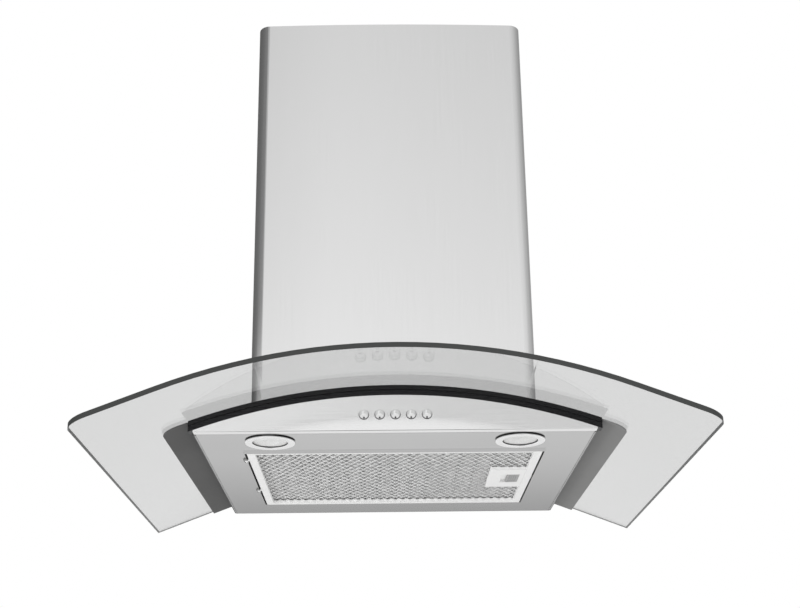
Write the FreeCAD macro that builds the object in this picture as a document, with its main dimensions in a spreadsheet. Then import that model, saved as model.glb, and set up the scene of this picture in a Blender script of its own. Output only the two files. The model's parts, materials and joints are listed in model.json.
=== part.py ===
import FreeCAD, Part
import Sketcher
import math
import os

# Wall-mounted cooker hood with an arched glass canopy. Millimetres. +Z is up, +Y points at the
# wall, the front faces -Y. Lengths below are given from the wall plane (y = 0) and from the
# underside of the body (z = 0); every piece is then lowered by mount_height, so that the origin
# is the centre of the four wall holes.

DIMENSIONS = {
    "mount_height": 120.0,
    # glass: an arc over the middle that runs on into straight flanks
    "glass_width": 596.0,
    "glass_depth": 493.0,
    "glass_thick": 5.0,
    "glass_height": 47.5,
    "glass_radius": 604.0,
    "flank_angle": 21.2,
    "glass_corner": 18.0,
    "notch_width": 276.0,
    "notch_depth": 232.0,
    "rear_gap": 2.0,
    # body under the glass
    "body_width": 400.0,
    "body_depth": 382.0,
    "sheet_thick": 1.0,
    "gasket_thick": 1.5,
    "trim_height": 10.5,
    "trim_depth": 12.0,
    "trim_width": 410.0,
    "panel_thick": 1.2,
    "wing_front": 31.0,
    "wing_back": 28.5,
    "wing_corner": 14.0,
    # filter and its opening in the underside
    "filter_width": 312.0,
    "filter_depth": 249.0,
    "filter_front": 302.5,
    "filter_rim": 9.0,
    "filter_low": -0.5,
    "filter_high": 8.5,
    "mesh_low": 3.2,
    "filter_gap": 2.0,
    "hinge_front": 271.0,
    "hinge_back": 132.5,
    # lamps
    "lamp_spacing": 254.0,
    "lamp_front": 344.5,
    "lamp_radius": 26.3,
    # push buttons
    "button_radius": 4.8,
    "button_pitch": 15.65,
    "button_height": 16.5,
    # chimney covers
    "chimney_width": 320.0,
    "chimney_depth": 247.0,
    "chimney_top": 555.0,
    "chimney_corner": 14.0,
    "chimney_bow": 3.2,
    "chimney_clearance": 1.0,
    "clip_screw_y": -14.0,
    "clip_screw_z": 72.0,
    "upper_low": 85.05,
    # blower
    "plate_width": 280.0,
    "plate_thick": 1.5,
    "hole_spacing_x": 230.0,
    "hole_spacing_z": 150.0,
    "hole_radius": 4.0,
    "box_width": 256.0,
    "box_depth": 222.0,
    "box_top": 262.0,
    "outlet_wide": 100.0,
    "outlet_deep": 96.0,
    "fan_y": 100.0,
    "fan_height": 150.0,
    "fan_radius": 70.0,
    "fan_width": 78.0,
    "shaft_radius": 4.0,
    "collar_y": 154.5,
    "collar_radius": 74.0,
    "collar_wall": 1.8,
    "collar_top": 350.0,
    "flap_height": 312.0,
}

doc = FreeCAD.newDocument("cooker_hood")
sheet = doc.addObject("Spreadsheet::Sheet", "Dims")
for row, (alias, value) in enumerate(DIMENSIONS.items(), start=1):
    sheet.set("A%d" % row, alias)
    sheet.set("B%d" % row, str(value))
    sheet.setAlias("B%d" % row, alias)
doc.recompute()

sub_parts = []


def dim(alias):
    """Value of one cell of the sheet."""
    return float(sheet.get(alias))


def vec(x, y, z=0.0):
    return FreeCAD.Vector(x, y, z)


# ---------------------------------------------------------------- document helpers


def finish(obj, label):
    """Give a sub-part its name and lower it, so that the origin is the wall pattern's centre."""
    if obj.TypeId in ("Part::Box", "Part::Cylinder"):
        obj = group_of(label, [obj])
    obj.Label = label
    obj.setExpression(".Placement.Base.z", "-Dims.mount_height")
    sub_parts.append(obj)
    return obj


def new_body(name):
    return doc.addObject("PartDesign::Body", name + "_body")


def new_sketch(body, plane, offset="0"):
    """Empty sketch on an origin plane; XZ sketches look from the front, offset is forward."""
    sketch = body.newObject("Sketcher::SketchObject", body.Name + "_sketch")
    support = [o for o in body.Origin.OriginFeatures if o.Role == plane + "_Plane"][0]
    sketch.AttachmentSupport = [(support, "")]
    sketch.MapMode = "FlatFace"
    sketch.setExpression(".AttachmentOffset.Base.z", offset)
    return sketch


def expression_value(owner, text):
    return float(owner.evalExpression(text))


def add_path(sketch, start, steps):
    """Closed outline from start: each step is (end,) for a line or (middle, end) for an arc."""
    edges = []
    here = start
    for step in steps:
        end = step[-1]
        if len(step) == 1:
            edges.append(Part.LineSegment(vec(*here), vec(*end)))
        else:
            edges.append(Part.Arc(vec(*here), vec(*step[0]), vec(*end)))
        here = end
    sketch.addGeometry(edges)


def add_rectangle(sketch, left, right, low, high):
    """Rectangle whose four sides are bound to expressions."""
    x0, x1, y0, y1 = [expression_value(sketch, t) for t in (left, right, low, high)]
    corners = [vec(x0, y0), vec(x1, y0), vec(x1, y1), vec(x0, y1)]
    first = sketch.GeometryCount
    for n in range(4):
        sketch.addGeometry(Part.LineSegment(corners[n], corners[(n + 1) % 4]))
    for n in range(4):
        joined = (first + n, 2, first + (n + 1) % 4, 1)
        sketch.addConstraint(Sketcher.Constraint("Coincident", *joined))
    for n, direction in enumerate(("Horizontal", "Vertical", "Horizontal", "Vertical")):
        sketch.addConstraint(Sketcher.Constraint(direction, first + n))
    sides = (("DistanceX", 0, left, x0), ("DistanceY", 0, low, y0),
             ("DistanceX", 2, right, x1), ("DistanceY", 2, high, y1))
    for direction, edge, text, value in sides:
        rule = Sketcher.Constraint(direction, -1, 1, first + edge, 1, value)
        index = sketch.addConstraint(rule)
        sketch.setExpression("Constraints[%d]" % index, text)


def add_circle(sketch, x, y, radius):
    """Circle whose centre and radius are bound to expressions."""
    cx, cy, r = [expression_value(sketch, t) for t in (x, y, radius)]
    index = sketch.addGeometry(Part.Circle(vec(cx, cy), vec(0, 0, 1), r))
    rules = (("DistanceX", (-1, 1, index, 3, cx), x), ("DistanceY", (-1, 1, index, 3, cy), y),
             ("Radius", (index, r), radius))
    for kind, terms, text in rules:
        number = sketch.addConstraint(Sketcher.Constraint(kind, *terms))
        sketch.setExpression("Constraints[%d]" % number, text)


def pad(body, sketch, length, both_ways=False, backwards=False):
    feature = body.newObject("PartDesign::Pad", body.Name + "_pad")
    feature.Profile = sketch
    feature.setExpression("Length", length)
    feature.SideType = "Symmetric" if both_ways else "One side"
    feature.Reversed = backwards
    doc.recompute()
    return feature


def pocket(body, sketch, length=None, backwards=False):
    """Cut; without a length it goes through everything, both ways."""
    before = body.Shape.Volume
    feature = body.newObject("PartDesign::Pocket", body.Name + "_pocket")
    feature.Profile = sketch
    if length is None:
        feature.Type = "ThroughAll"
        feature.SideType = "Symmetric"
    else:
        feature.setExpression("Length", length)
        feature.Reversed = backwards
    doc.recompute()
    if body.Shape.Volume > before - 0.01:
        raise ValueError("a cut in %s removed nothing" % body.Name)
    return feature


def revolve(body, sketch, axis, kind="Revolution"):
    """Full turn about the sketch's own axis; the kind Groove takes material away."""
    feature = body.newObject("PartDesign::" + kind, body.Name + "_turned")
    feature.Profile = sketch
    feature.ReferenceAxis = (sketch, [axis])
    feature.Angle = 360.0
    doc.recompute()
    return feature


def soften_edges(body, kind, size, wanted):
    """Fillet or Chamfer on the edges of the body's last feature that pass the test."""
    tip = body.Tip
    names = []
    for number, edge in enumerate(tip.Shape.Edges, start=1):
        if wanted(edge.BoundBox.Center, edge.BoundBox):
            names.append("Edge%d" % number)
    if not names:
        raise ValueError("no edge to soften in %s" % body.Name)
    feature = body.newObject("PartDesign::" + kind, body.Name + "_softened")
    feature.Base = (tip, names)
    setattr(feature, {"Fillet": "Radius", "Chamfer": "Size"}[kind], size)
    doc.recompute()
    return feature


def round_corners(body, radius, corners):
    """Round upright corners; each is (x, y, outward x sign, outward y sign)."""
    sketch = new_sketch(body, "XY")
    inset = radius * (1 - math.sqrt(0.5))
    for x, y, sx, sy in corners:
        arc = ((x - sx * inset, y - sy * inset), (x, y - sy * radius))
        beyond = [(x + sx, y - sy * radius), (x + sx, y + sy), (x - sx * radius, y + sy)]
        start = (x - sx * radius, y)
        add_path(sketch, start, [arc] + [(point,) for point in beyond + [start]])
    pocket(body, sketch)


def set_position(obj, **axes):
    """Bind the placement of an inner solid."""
    for axis, text in axes.items():
        obj.setExpression(".Placement.Base." + axis, text)


def make_box(name, x, y, z):
    """Box between two bounds on each axis; every bound is an expression."""
    solid = doc.addObject("Part::Box", name)
    for side, (low, high) in zip(("Length", "Width", "Height"), (x, y, z)):
        solid.setExpression(side, "(%s) - (%s)" % (high, low))
    set_position(solid, x=x[0], y=y[0], z=z[0])
    return solid


AXIS_TURN = {
    "z": FreeCAD.Rotation(),
    "x": FreeCAD.Rotation(vec(0, 1, 0), 90),
    "y": FreeCAD.Rotation(vec(1, 0, 0), -90),
}


def make_cylinder(name, axis, radius, length, x="0", y="0", z="0"):
    """Cylinder that starts at (x, y, z) and runs along an axis in its positive direction."""
    solid = doc.addObject("Part::Cylinder", name)
    solid.setExpression("Radius", radius)
    solid.setExpression("Height", length)
    solid.Placement = FreeCAD.Placement(vec(0, 0, 0), AXIS_TURN[axis])
    set_position(solid, x=x, y=y, z=z)
    return solid


def make_hexagon(name, axis, radius, length, x="0", y="0", z="0"):
    """Hexagonal bar that starts at (x, y, z) and runs along an axis in its positive direction."""
    solid = doc.addObject("Part::Prism", name)
    solid.Polygon = 6
    solid.Circumradius = radius
    solid.Height = length
    solid.Placement = FreeCAD.Placement(vec(0, 0, 0), AXIS_TURN[axis])
    set_position(solid, x=x, y=y, z=z)
    return solid


def fuse(name, solids):
    if len(solids) == 1:
        return solids[0]
    result = doc.addObject("Part::MultiFuse", name + "_fused")
    result.Shapes = solids
    return result


def cut(name, base, tools):
    result = doc.addObject("Part::Cut", name + "_cut")
    result.Base = base
    result.Tool = fuse(name + "_tools", tools)
    return result


# ---------------------------------------------------------------- the arch of the glass


def arch_centre():
    return dim("glass_height") - dim("glass_radius")


def arch_height(radius, x):
    """Height over the body's underside, at x, of the line concentric with the glass."""
    angle = math.radians(dim("flank_angle"))
    tangent = radius * math.sin(angle)
    if abs(x) <= tangent:
        return arch_centre() + math.sqrt(radius ** 2 - x ** 2)
    return arch_centre() + radius * math.cos(angle) - (abs(x) - tangent) * math.tan(angle)


def arch_steps(radius, start, end):
    """Steps along that line from x = start to x = end, in either direction."""
    tangent = radius * math.sin(math.radians(dim("flank_angle")))
    way = 1 if end > start else -1

    def point(x):
        return (x, arch_height(radius, x))

    arc_start = max(-tangent, min(tangent, start))
    arc_end = max(-tangent, min(tangent, end))
    steps = []
    if way * (arc_start - start) > 1e-6:
        steps.append((point(arc_start),))
    if way * (arc_end - arc_start) > 1e-6:
        steps.append((point((arc_start + arc_end) / 2), point(arc_end)))
    if way * (end - arc_end) > 1e-6:
        steps.append((point(end),))
    return steps


def arch_band(sketch, outer, inner, half_width):
    """Closed band between two concentric lines, cut off upright at both ends."""
    steps = arch_steps(outer, -half_width, half_width)
    steps.append(((half_width, arch_height(inner, half_width)),))
    steps += arch_steps(inner, half_width, -half_width)
    steps.append(((-half_width, arch_height(outer, -half_width)),))
    add_path(sketch, (-half_width, arch_height(outer, -half_width)), steps)


def arch_floor(sketch, radius, half_width, low):
    """Region under a concentric line, down to a level floor."""
    steps = [((-half_width, arch_height(radius, half_width)),)]
    steps += arch_steps(radius, -half_width, half_width)
    steps += [((half_width, low),), ((-half_width, low),)]
    add_path(sketch, (-half_width, low), steps)


def glass_underside():
    return dim("glass_radius")


def glass_top():
    return dim("glass_radius") + dim("glass_thick")


def shell_top():
    return dim("glass_radius") - dim("gasket_thick")


# Glass screws: square to the arch, two on each side of the notch, under the chimney's edge.
SCREW_X = 147.5
SCREW_Y = (-60.0, -200.0)


def along_glass_screws(make):
    """Compound of one solid per glass screw; make(radius line) gives it on the +Z axis."""
    solids = []
    for side in (-1, 1):
        tilt = math.degrees(math.asin(side * SCREW_X / glass_top()))
        turn = FreeCAD.Rotation(vec(0, 1, 0), tilt)
        for y in SCREW_Y:
            solid = make()
            solid.Placement = FreeCAD.Placement(vec(0, y, arch_centre()), turn)
            solids.append(solid)
    return Part.makeCompound(solids)


def drill_for_screws(name, base, radius):
    """Cut the four slanted screw holes through a sheet that follows the arch."""
    tool = doc.addObject("Part::Feature", name + "_drill")
    tool.Shape = along_glass_screws(
        lambda: Part.makeCylinder(radius, 40, vec(0, 0, glass_underside() - 20)))
    return cut(name, base, [tool])


# ---------------------------------------------------------------- glass canopy and its seal


def make_glass():
    body = new_body("glass")
    section = new_sketch(body, "XZ", "Dims.rear_gap")
    arch_band(section, glass_top(), glass_underside(), dim("glass_width") / 2)
    pad(body, section, "Dims.glass_depth - Dims.rear_gap")
    notch = new_sketch(body, "XY")
    half = dim("notch_width") / 2
    end = -dim("notch_depth")
    bend = 12.0
    inset = bend * (1 - math.sqrt(0.5))
    steps = [((-half, end + bend),), ((inset - half, end + inset), (bend - half, end))]
    steps += [((half - bend, end),), ((half - inset, end + inset), (half, end + bend))]
    steps += [((half, 5),), ((-half, 5),)]
    add_path(notch, (-half, 5), steps)
    pocket(body, notch)
    tip_x = dim("glass_width") / 2
    front = -dim("glass_depth")
    round_corners(body, dim("glass_corner"), [(-tip_x, front, -1, -1), (tip_x, front, 1, -1)])
    finish(drill_for_screws("glass", body, 3.5), "glass_canopy")


def make_glass_gasket():
    """Rubber frame around the notch, inside the screws, between the glass and the body."""
    body = new_body("gasket")
    section = new_sketch(body, "XZ", "3")
    arch_band(section, glass_underside() - 0.1, shell_top() + 0.1, dim("notch_width") / 2 + 4.8)
    pad(body, section, "Dims.notch_depth + 9")
    inside = new_sketch(body, "XY")
    add_rectangle(inside, "-Dims.notch_width / 2 - 1", "Dims.notch_width / 2 + 1",
                  "-Dims.notch_depth - 1", "5")
    pocket(body, inside)
    finish(body, "glass_gasket")


def make_glass_screws():
    """Four hexagon-head screws, square to the glass, with a square rubber pad under each head."""
    pad_thick = 1.5
    pad_half = 7.0
    pad_hole = 2.5
    seat = glass_top() + pad_thick + 0.1
    head_radius = 5.0
    head_height = 3.0
    shank_radius = 2.4
    shank_length = 16.0

    def screw():
        shank = Part.makeCylinder(shank_radius, shank_length, vec(0, 0, seat - shank_length))
        turns = [n * math.pi / 3 for n in range(7)]
        corners = [vec(head_radius * math.cos(t), head_radius * math.sin(t), seat) for t in turns]
        head = Part.Face(Part.makePolygon(corners)).extrude(vec(0, 0, head_height))
        return shank.fuse(head)

    def square(half):
        return Part.makeBox(2 * half, 2 * half, pad_thick, vec(-half, -half, glass_top() + 0.05))

    def washer():
        return square(pad_half).cut(square(pad_hole))

    for label, make in (("glass_screws", screw), ("glass_washers", washer)):
        group = doc.addObject("Part::Feature", label)
        group.Shape = along_glass_screws(make)
        finish(group, label)


# ---------------------------------------------------------------- body


def make_canopy_shell():
    """Folded steel tray: arched top under the glass, low sides, back wall and inner lips."""
    body = new_body("shell")
    half = dim("body_width") / 2
    thick = dim("sheet_thick")
    outer = shell_top()
    inner = outer - thick
    section = new_sketch(body, "XZ", "Dims.plate_thick")
    steps = [((-half, arch_height(outer, half)),)]
    steps += arch_steps(outer, -half, half)
    steps += [((half, 0),), ((half - thick, 0),)]
    steps += [((half - thick, arch_height(inner, half - thick)),)]
    steps += arch_steps(inner, half - thick, thick - half)
    steps += [((thick - half, 0),), ((-half, 0),)]
    add_path(section, (-half, 0), steps)
    pad(body, section, "Dims.body_depth - Dims.trim_depth - Dims.plate_thick - 0.5")
    back = new_sketch(body, "XZ", "Dims.plate_thick")
    arch_floor(back, outer, half, 0)
    pad(body, back, "Dims.sheet_thick")
    lips = new_sketch(body, "XY", "1.1")
    for side in ("-", ""):
        bounds = ["%s(Dims.body_width / 2 - %s)" % (side, inset) for inset in ("0.5", "8")]
        if side == "":
            bounds.reverse()
        add_rectangle(lips, bounds[0], bounds[1], "-Dims.body_depth + 30", "-2")
    pad(body, lips, "Dims.sheet_thick")
    air = new_sketch(body, "XY")
    add_rectangle(air, "-Dims.box_width / 2 + 14", "Dims.box_width / 2 - 14",
                  "-Dims.box_depth + 14", "-18")
    pocket(body, air)
    finish(drill_for_screws("shell", body, 2.5), "canopy_shell")


def make_front_panel():
    """Flat steel fascia with an arched top, a folded lower edge and five button holes."""
    body = new_body("panel")
    face = new_sketch(body, "XZ", "Dims.body_depth - Dims.panel_thick")
    arch_floor(face, glass_underside() - dim("trim_height") - 0.2, dim("body_width") / 2, 0)
    pad(body, face, "Dims.panel_thick")
    fold = new_sketch(body, "XY")
    add_rectangle(fold, "-Dims.body_width / 2", "Dims.body_width / 2",
                  "-Dims.body_depth", "-Dims.body_depth + 9")
    pad(body, fold, "Dims.sheet_thick")
    front = -dim("body_depth")

    def at_lower_edge(centre, box):
        return abs(centre.y - front) < 0.01 and abs(centre.z) < 0.01 and box.XLength > 100

    soften_edges(body, "Fillet", 0.9, at_lower_edge)
    holes = new_sketch(body, "XZ")
    for number in range(-2, 3):
        add_circle(holes, "Dims.button_pitch * %d" % number, "Dims.button_height",
                   "Dims.button_radius + 0.4")
    pocket(body, holes)
    finish(body, "front_panel")


def make_front_trim():
    """Black strip that closes the gap between the glass and the fascia, with a fine groove."""
    body = new_body("trim")
    top = glass_underside() - 0.1
    low = glass_underside() - dim("trim_height")
    section = new_sketch(body, "XZ", "Dims.body_depth - Dims.trim_depth")
    arch_band(section, top, low, dim("trim_width") / 2)
    pad(body, section, "Dims.trim_depth")
    middle = (top + low) / 2
    groove = new_sketch(body, "XZ", "Dims.body_depth")
    arch_band(groove, middle + 0.4, middle - 0.4, dim("trim_width") / 2 + 1)
    pocket(body, groove, "0.6")
    finish(body, "front_trim")


def make_side_wing(label, side):
    """Steel strip under the glass beside the body, with a flange against the body's side."""
    body = new_body(label)
    start = dim("body_width") / 2 + 0.2
    end = dim("body_width") / 2 + dim("wing_front")
    top = glass_underside() - 1.2
    low = top - 1.2
    flange = start + 1.2
    section = new_sketch(body, "XZ", "Dims.rear_gap")
    steps = [((side * start, arch_height(top, start)),)]
    steps += arch_steps(top, side * start, side * end)
    steps.append(((side * end, arch_height(low, end)),))
    steps += arch_steps(low, side * end, side * flange)
    steps += [((side * flange, 0.2),), ((side * start, 0.2),)]
    add_path(section, (side * start, 0.2), steps)
    pad(body, section, "Dims.body_depth - Dims.rear_gap")
    clear = new_sketch(body, "XY")
    near = "Dims.body_width / 2 - 2"
    far = "Dims.trim_width / 2 + 0.4"
    if side < 0:
        near, far = "-(%s)" % far, "-(%s)" % near
    add_rectangle(clear, near, far, "-Dims.body_depth - 2", "-Dims.body_depth + Dims.trim_depth + 0.4")
    pocket(body, clear)
    trim_free_edge(body, side, end)
    finish(body, label)


def trim_free_edge(body, side, end):
    """Cut a wing's free edge to its slight taper, and round its front corner."""
    radius = dim("wing_corner")
    front = -dim("body_depth")
    back = dim("body_width") / 2 + dim("wing_back")
    inset = radius * (1 - math.sqrt(0.5))
    beyond = end + 5
    sketch = new_sketch(body, "XY")
    arc = ((side * (end - inset), front + inset), (side * end, front + radius))
    line = [(side * back, 0), (side * beyond, 0), (side * beyond, front - 1)]
    line.append((side * (end - radius), front - 1))
    start = (side * (end - radius), front)
    add_path(sketch, start, [arc] + [(point,) for point in line + [start]])
    pocket(body, sketch)


FILTER_LEFT = "(-Dims.filter_width / 2)"
FILTER_RIGHT = "(Dims.filter_width / 2)"
FILTER_FRONT = "(-Dims.filter_front)"
FILTER_BACK = "(-Dims.filter_front + Dims.filter_depth)"
HINGE_X = "(-Dims.filter_width / 2 - 2.7)"


def add_opening(sketch, margin):
    """Outline of the filter opening, grown by a margin."""
    add_rectangle(sketch, "%s - Dims.filter_gap - %s" % (FILTER_LEFT, margin),
                  "%s + Dims.filter_gap - 0.3 + %s" % (FILTER_RIGHT, margin),
                  "%s - Dims.filter_gap - %s" % (FILTER_FRONT, margin),
                  "%s + Dims.filter_gap + %s" % (FILTER_BACK, margin))


def make_bottom_pan():
    """Flat underside with a turned-up rim round the filter opening and two lamp holes."""
    body = new_body("pan")
    plate = new_sketch(body, "XY")
    add_rectangle(plate, "-Dims.body_width / 2 + 1.3", "Dims.body_width / 2 - 1.3",
                  "-Dims.body_depth + 9.8", "-3")
    pad(body, plate, "Dims.sheet_thick")
    rim = new_sketch(body, "XY")
    add_opening(rim, "1")
    pad(body, rim, "9")
    opening = new_sketch(body, "XY")
    add_opening(opening, "0")
    pocket(body, opening)
    lamps = new_sketch(body, "XY")
    for side in ("-", ""):
        add_circle(lamps, side + "Dims.lamp_spacing / 2", "-Dims.lamp_front", "Dims.lamp_radius - 2.8")
    pocket(body, lamps)
    notches = new_sketch(body, "XY")
    for hinge in ("Dims.hinge_front", "Dims.hinge_back"):
        add_rectangle(notches, HINGE_X + " - 3", HINGE_X + " + 2", "-%s - 7" % hinge, "-%s + 7" % hinge)
    pocket(body, notches)
    finish(body, "bottom_pan")


# ---------------------------------------------------------------- filter


def make_hinges():
    """Two pairs of ears on the underside, each with a pin that the filter's lug turns on."""
    solids = []
    pins = []
    for number, hinge in enumerate(("Dims.hinge_front", "Dims.hinge_back")):
        name = "hinge%d" % number
        ears = []
        for low in (-5.5, 4.0):
            ends = ("-%s + %s" % (hinge, low), "-%s + %s" % (hinge, low + 1.5))
            ears.append(make_box(name + "_ear", (HINGE_X + " - 2", HINGE_X + " + 2"), ends, ("-1.9", "2.3")))
        base_x = (HINGE_X + " - 18", HINGE_X + " - 1.9")
        base_y = ("-%s - 10" % hinge, "-%s + 10" % hinge)
        ears.append(make_box(name + "_base", base_x, base_y, ("1.1", "2.3")))
        hole = make_cylinder(name + "_hole", "y", "1.05", "14", HINGE_X, "-%s - 7" % hinge, "0")
        solids.append(cut(name, fuse(name, ears), [hole]))
        pins.append(make_cylinder(name + "_pin", "y", "1", "12", HINGE_X, "-%s - 6" % hinge, "0"))
    finish(group_of("hinge_brackets", solids), "hinge_brackets")
    finish(group_of("hinge_pins", pins), "hinge_pins")


def group_of(name, solids):
    group = doc.addObject("Part::Compound", name + "_group")
    group.Links = solids
    return group


LATCH_Y = "(-179)"


def make_filter_frame():
    """Extruded rim with an inner channel for the mesh and two hinge lugs on the left."""
    body = new_body("frame")
    rim = new_sketch(body, "XY", "Dims.filter_low")
    add_rectangle(rim, FILTER_LEFT, FILTER_RIGHT, FILTER_FRONT, FILTER_BACK)
    pad(body, rim, "Dims.filter_high - Dims.filter_low")

    window = new_sketch(body, "XY")
    add_rectangle(window, FILTER_LEFT + " + Dims.filter_rim", FILTER_RIGHT + " - Dims.filter_rim",
                  FILTER_FRONT + " + Dims.filter_rim", FILTER_BACK + " - Dims.filter_rim")
    pocket(body, window)
    channel = new_sketch(body, "XY", "Dims.mesh_low")
    add_rectangle(channel, FILTER_LEFT + " + 1.2", FILTER_RIGHT + " - 1.2",
                  FILTER_FRONT + " + 1.2", FILTER_BACK + " - 1.2")
    pocket(body, channel, "Dims.filter_high - Dims.mesh_low - 0.8", backwards=True)

    def at_lower_rim(centre, box):
        return abs(centre.z - dim("filter_low")) < 0.01 and box.ZLength < 0.01

    soften_edges(body, "Chamfer", 0.6, at_lower_rim)
    tools = [make_box("latch_way", (FILTER_RIGHT + " - 12", FILTER_RIGHT + " + 1"),
                      (LATCH_Y + " - 7.2", LATCH_Y + " + 7.2"), ("1.0", "2.5"))]
    lugs = []
    for number, hinge in enumerate(("Dims.hinge_front", "Dims.hinge_back")):
        ends = ("-%s - 3.6" % hinge, "-%s + 3.6" % hinge)
        lugs.append(make_cylinder("lug%d" % number, "y", "1.9", "7.2", HINGE_X, ends[0], "0"))
        lugs.append(make_box("lug_tab%d" % number, (HINGE_X, HINGE_X + " + 3.2"), ends, ("-0.4", "1.2")))
        tools.append(make_cylinder("lug_bore%d" % number, "y", "1.05", "12", HINGE_X,
                                   "-%s - 6" % hinge, "0"))
    finish(cut("frame", fuse("frame", [body] + lugs), tools), "filter_frame")


def make_filter_media():
    """Two face sheets held in the rim's channel, with a pleated layer between them."""
    inset = 1.6
    bounds_x = ("%s + %s" % (FILTER_LEFT, inset), "%s - %s" % (FILTER_RIGHT, inset))
    bounds_y = ("%s + %s" % (FILTER_FRONT, inset), "%s - %s" % (FILTER_BACK, inset))
    low = make_box("mesh_low_sheet", bounds_x, bounds_y, ("Dims.mesh_low + 0.05", "Dims.mesh_low + 0.65"))
    high = make_box("mesh_high_sheet", bounds_x, bounds_y,
                    ("Dims.filter_high - 1.5", "Dims.filter_high - 0.9"))
    finish(low, "filter_mesh_lower")
    finish(high, "filter_mesh_upper")
    body = new_body("core")
    half = dim("filter_width") / 2 - 12
    floor = dim("mesh_low") + 0.75
    crest = dim("filter_high") - 1.6
    thick = 0.6
    pleats = 16
    pitch = 2 * half / pleats
    lower = []
    upper = []
    for number in range(2 * pleats + 1):
        x = -half + number * pitch / 2
        raised = number % 2
        lower.append((x, (crest if raised else floor + thick) - thick))
        upper.append((x, crest if raised else floor + thick))
    outline = lower + upper[::-1]
    folds = new_sketch(body, "XZ", "Dims.filter_front - Dims.filter_depth + 12")
    add_path(folds, outline[0], [(point,) for point in outline[1:] + outline[:1]])
    pad(body, folds, "Dims.filter_depth - 24")
    finish(body, "filter_core")


def make_filter_latch():
    """Latch plate let into the mesh, with a sliding bolt in its finger recess."""
    inner = FILTER_RIGHT + " - Dims.filter_rim"
    plate = make_box("plate_block", (inner + " - 40", inner), (LATCH_Y + " - 40", LATCH_Y + " + 40"),
                     ("Dims.filter_low", "Dims.mesh_low - 0.05"))
    recess = make_box("plate_recess", (inner + " - 25", inner + " - 5"),
                      (LATCH_Y + " - 18.5", LATCH_Y + " + 18.5"),
                      ("Dims.filter_low - 1", "Dims.mesh_low - 0.65"))
    way = make_box("plate_way", (inner + " - 6", inner + " + 1"),
                   (LATCH_Y + " - 7.2", LATCH_Y + " + 7.2"), ("1.0", "2.5"))
    finish(cut("latch_plate", plate, [recess, way]), "filter_latch_plate")
    grip = make_box("latch_grip", (inner + " - 18.5", inner + " - 5.2"),
                    (LATCH_Y + " - 18.1", LATCH_Y + " + 18.1"), ("-0.2", "2.4"))
    bolt = make_box("latch_bolt", (inner + " - 12", FILTER_RIGHT + " + 1.4"),
                    (LATCH_Y + " - 6.9", LATCH_Y + " + 6.9"), ("1.15", "2.35"))
    grooves = [make_box("latch_groove%d" % n, ("%s - 16.5 + %s" % (inner, 2.4 * n),
                                               "%s - 15.5 + %s" % (inner, 2.4 * n)),
                        (LATCH_Y + " - 15", LATCH_Y + " + 15"), ("-1", "0.4")) for n in range(4)]
    finish(cut("latch", fuse("latch", [grip, bolt]), grooves), "filter_latch")


# ---------------------------------------------------------------- lamps


def make_turned(label, x, y, outline):
    """Piece turned about an upright axis at (x, y); outline holds (radius, height) points."""
    body = new_body(label)
    profile = new_sketch(body, "XZ")
    add_path(profile, outline[0], [(point,) for point in outline[1:] + outline[:1]])
    revolve(body, profile, "V_Axis")
    set_position(body, x=x, y=y)
    return finish(body, label)


def make_lamp(side_name, sign):
    """Bezel, recessed lens, reflector cup and capsule bulb."""
    x = sign + "Dims.lamp_spacing / 2"
    y = "-Dims.lamp_front"
    rim = dim("lamp_radius")
    bezel = [(17.3, -2.2), (rim - 1, -2.2), (rim, -0.05), (23, -0.05), (23, 6), (19.3, 6), (19.3, -0.5),
             (17.3, -0.5)]
    make_turned("lamp_bezel_" + side_name, x, y, bezel)
    make_turned("lamp_lens_" + side_name, x, y, [(0, -0.6), (19.1, -0.45), (19.1, 1), (0, 1)])
    make_turned("lamp_reflector_" + side_name, x, y, [(18.6, 6.05), (22.6, 6.05), (8, 22), (4.8, 22)])
    make_turned("lamp_bulb_" + side_name, x, y, [(0, 8), (3.2, 10.7), (3.2, 21.5), (0, 21.5)])


# ---------------------------------------------------------------- buttons


BUTTON_BACK = 2.4


def make_buttons():
    """Five domed caps, each with a square plunger that runs in the switch block."""
    front = -dim("body_depth")
    radius = dim("button_radius")
    crown = front - 4.6
    shoulder = front - 2.6
    back = front + BUTTON_BACK
    for number in range(1, 6):
        label = "button_%d" % number
        body = new_body(label)
        profile = new_sketch(body, "YZ")
        dome = ((crown + 0.45, radius * 0.62), (shoulder, radius))
        add_path(profile, (crown, 0), [dome, ((back, radius),), ((back, 0),), ((crown, 0),)])
        revolve(body, profile, "H_Axis")
        plunger = new_sketch(body, "XZ", "Dims.body_depth - %s" % BUTTON_BACK)
        add_rectangle(plunger, "-2", "2", "-2", "2")
        pad(body, plunger, "12.6", backwards=True)
        body.setExpression(".Placement.Base.x", "Dims.button_pitch * %d" % (number - 3))
        finish(body, label)
        body.setExpression(".Placement.Base.z", "Dims.button_height - Dims.mount_height")


def make_switch_block():
    """Switch block behind the fascia: a channel for the caps and a square hole per plunger."""
    body = new_body("switches")
    outline = new_sketch(body, "XZ", "Dims.body_depth - 30")
    add_rectangle(outline, "-44", "44", "Dims.button_height - 9", "Dims.button_height + 9")
    pad(body, outline, "30 - Dims.panel_thick")
    channel = new_sketch(body, "XZ", "Dims.body_depth")
    add_rectangle(channel, "-40", "40", "Dims.button_height - 5.2", "Dims.button_height + 5.2")
    pocket(body, channel, "5.2")
    holes = new_sketch(body, "XZ", "Dims.body_depth")
    for number in range(-2, 3):
        middle = "Dims.button_pitch * %d" % number
        add_rectangle(holes, middle + " - 2.2", middle + " + 2.2",
                      "Dims.button_height - 2.2", "Dims.button_height + 2.2")
    pocket(body, holes, "19")
    finish(body, "switch_block")


# ---------------------------------------------------------------- chimney covers


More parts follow.
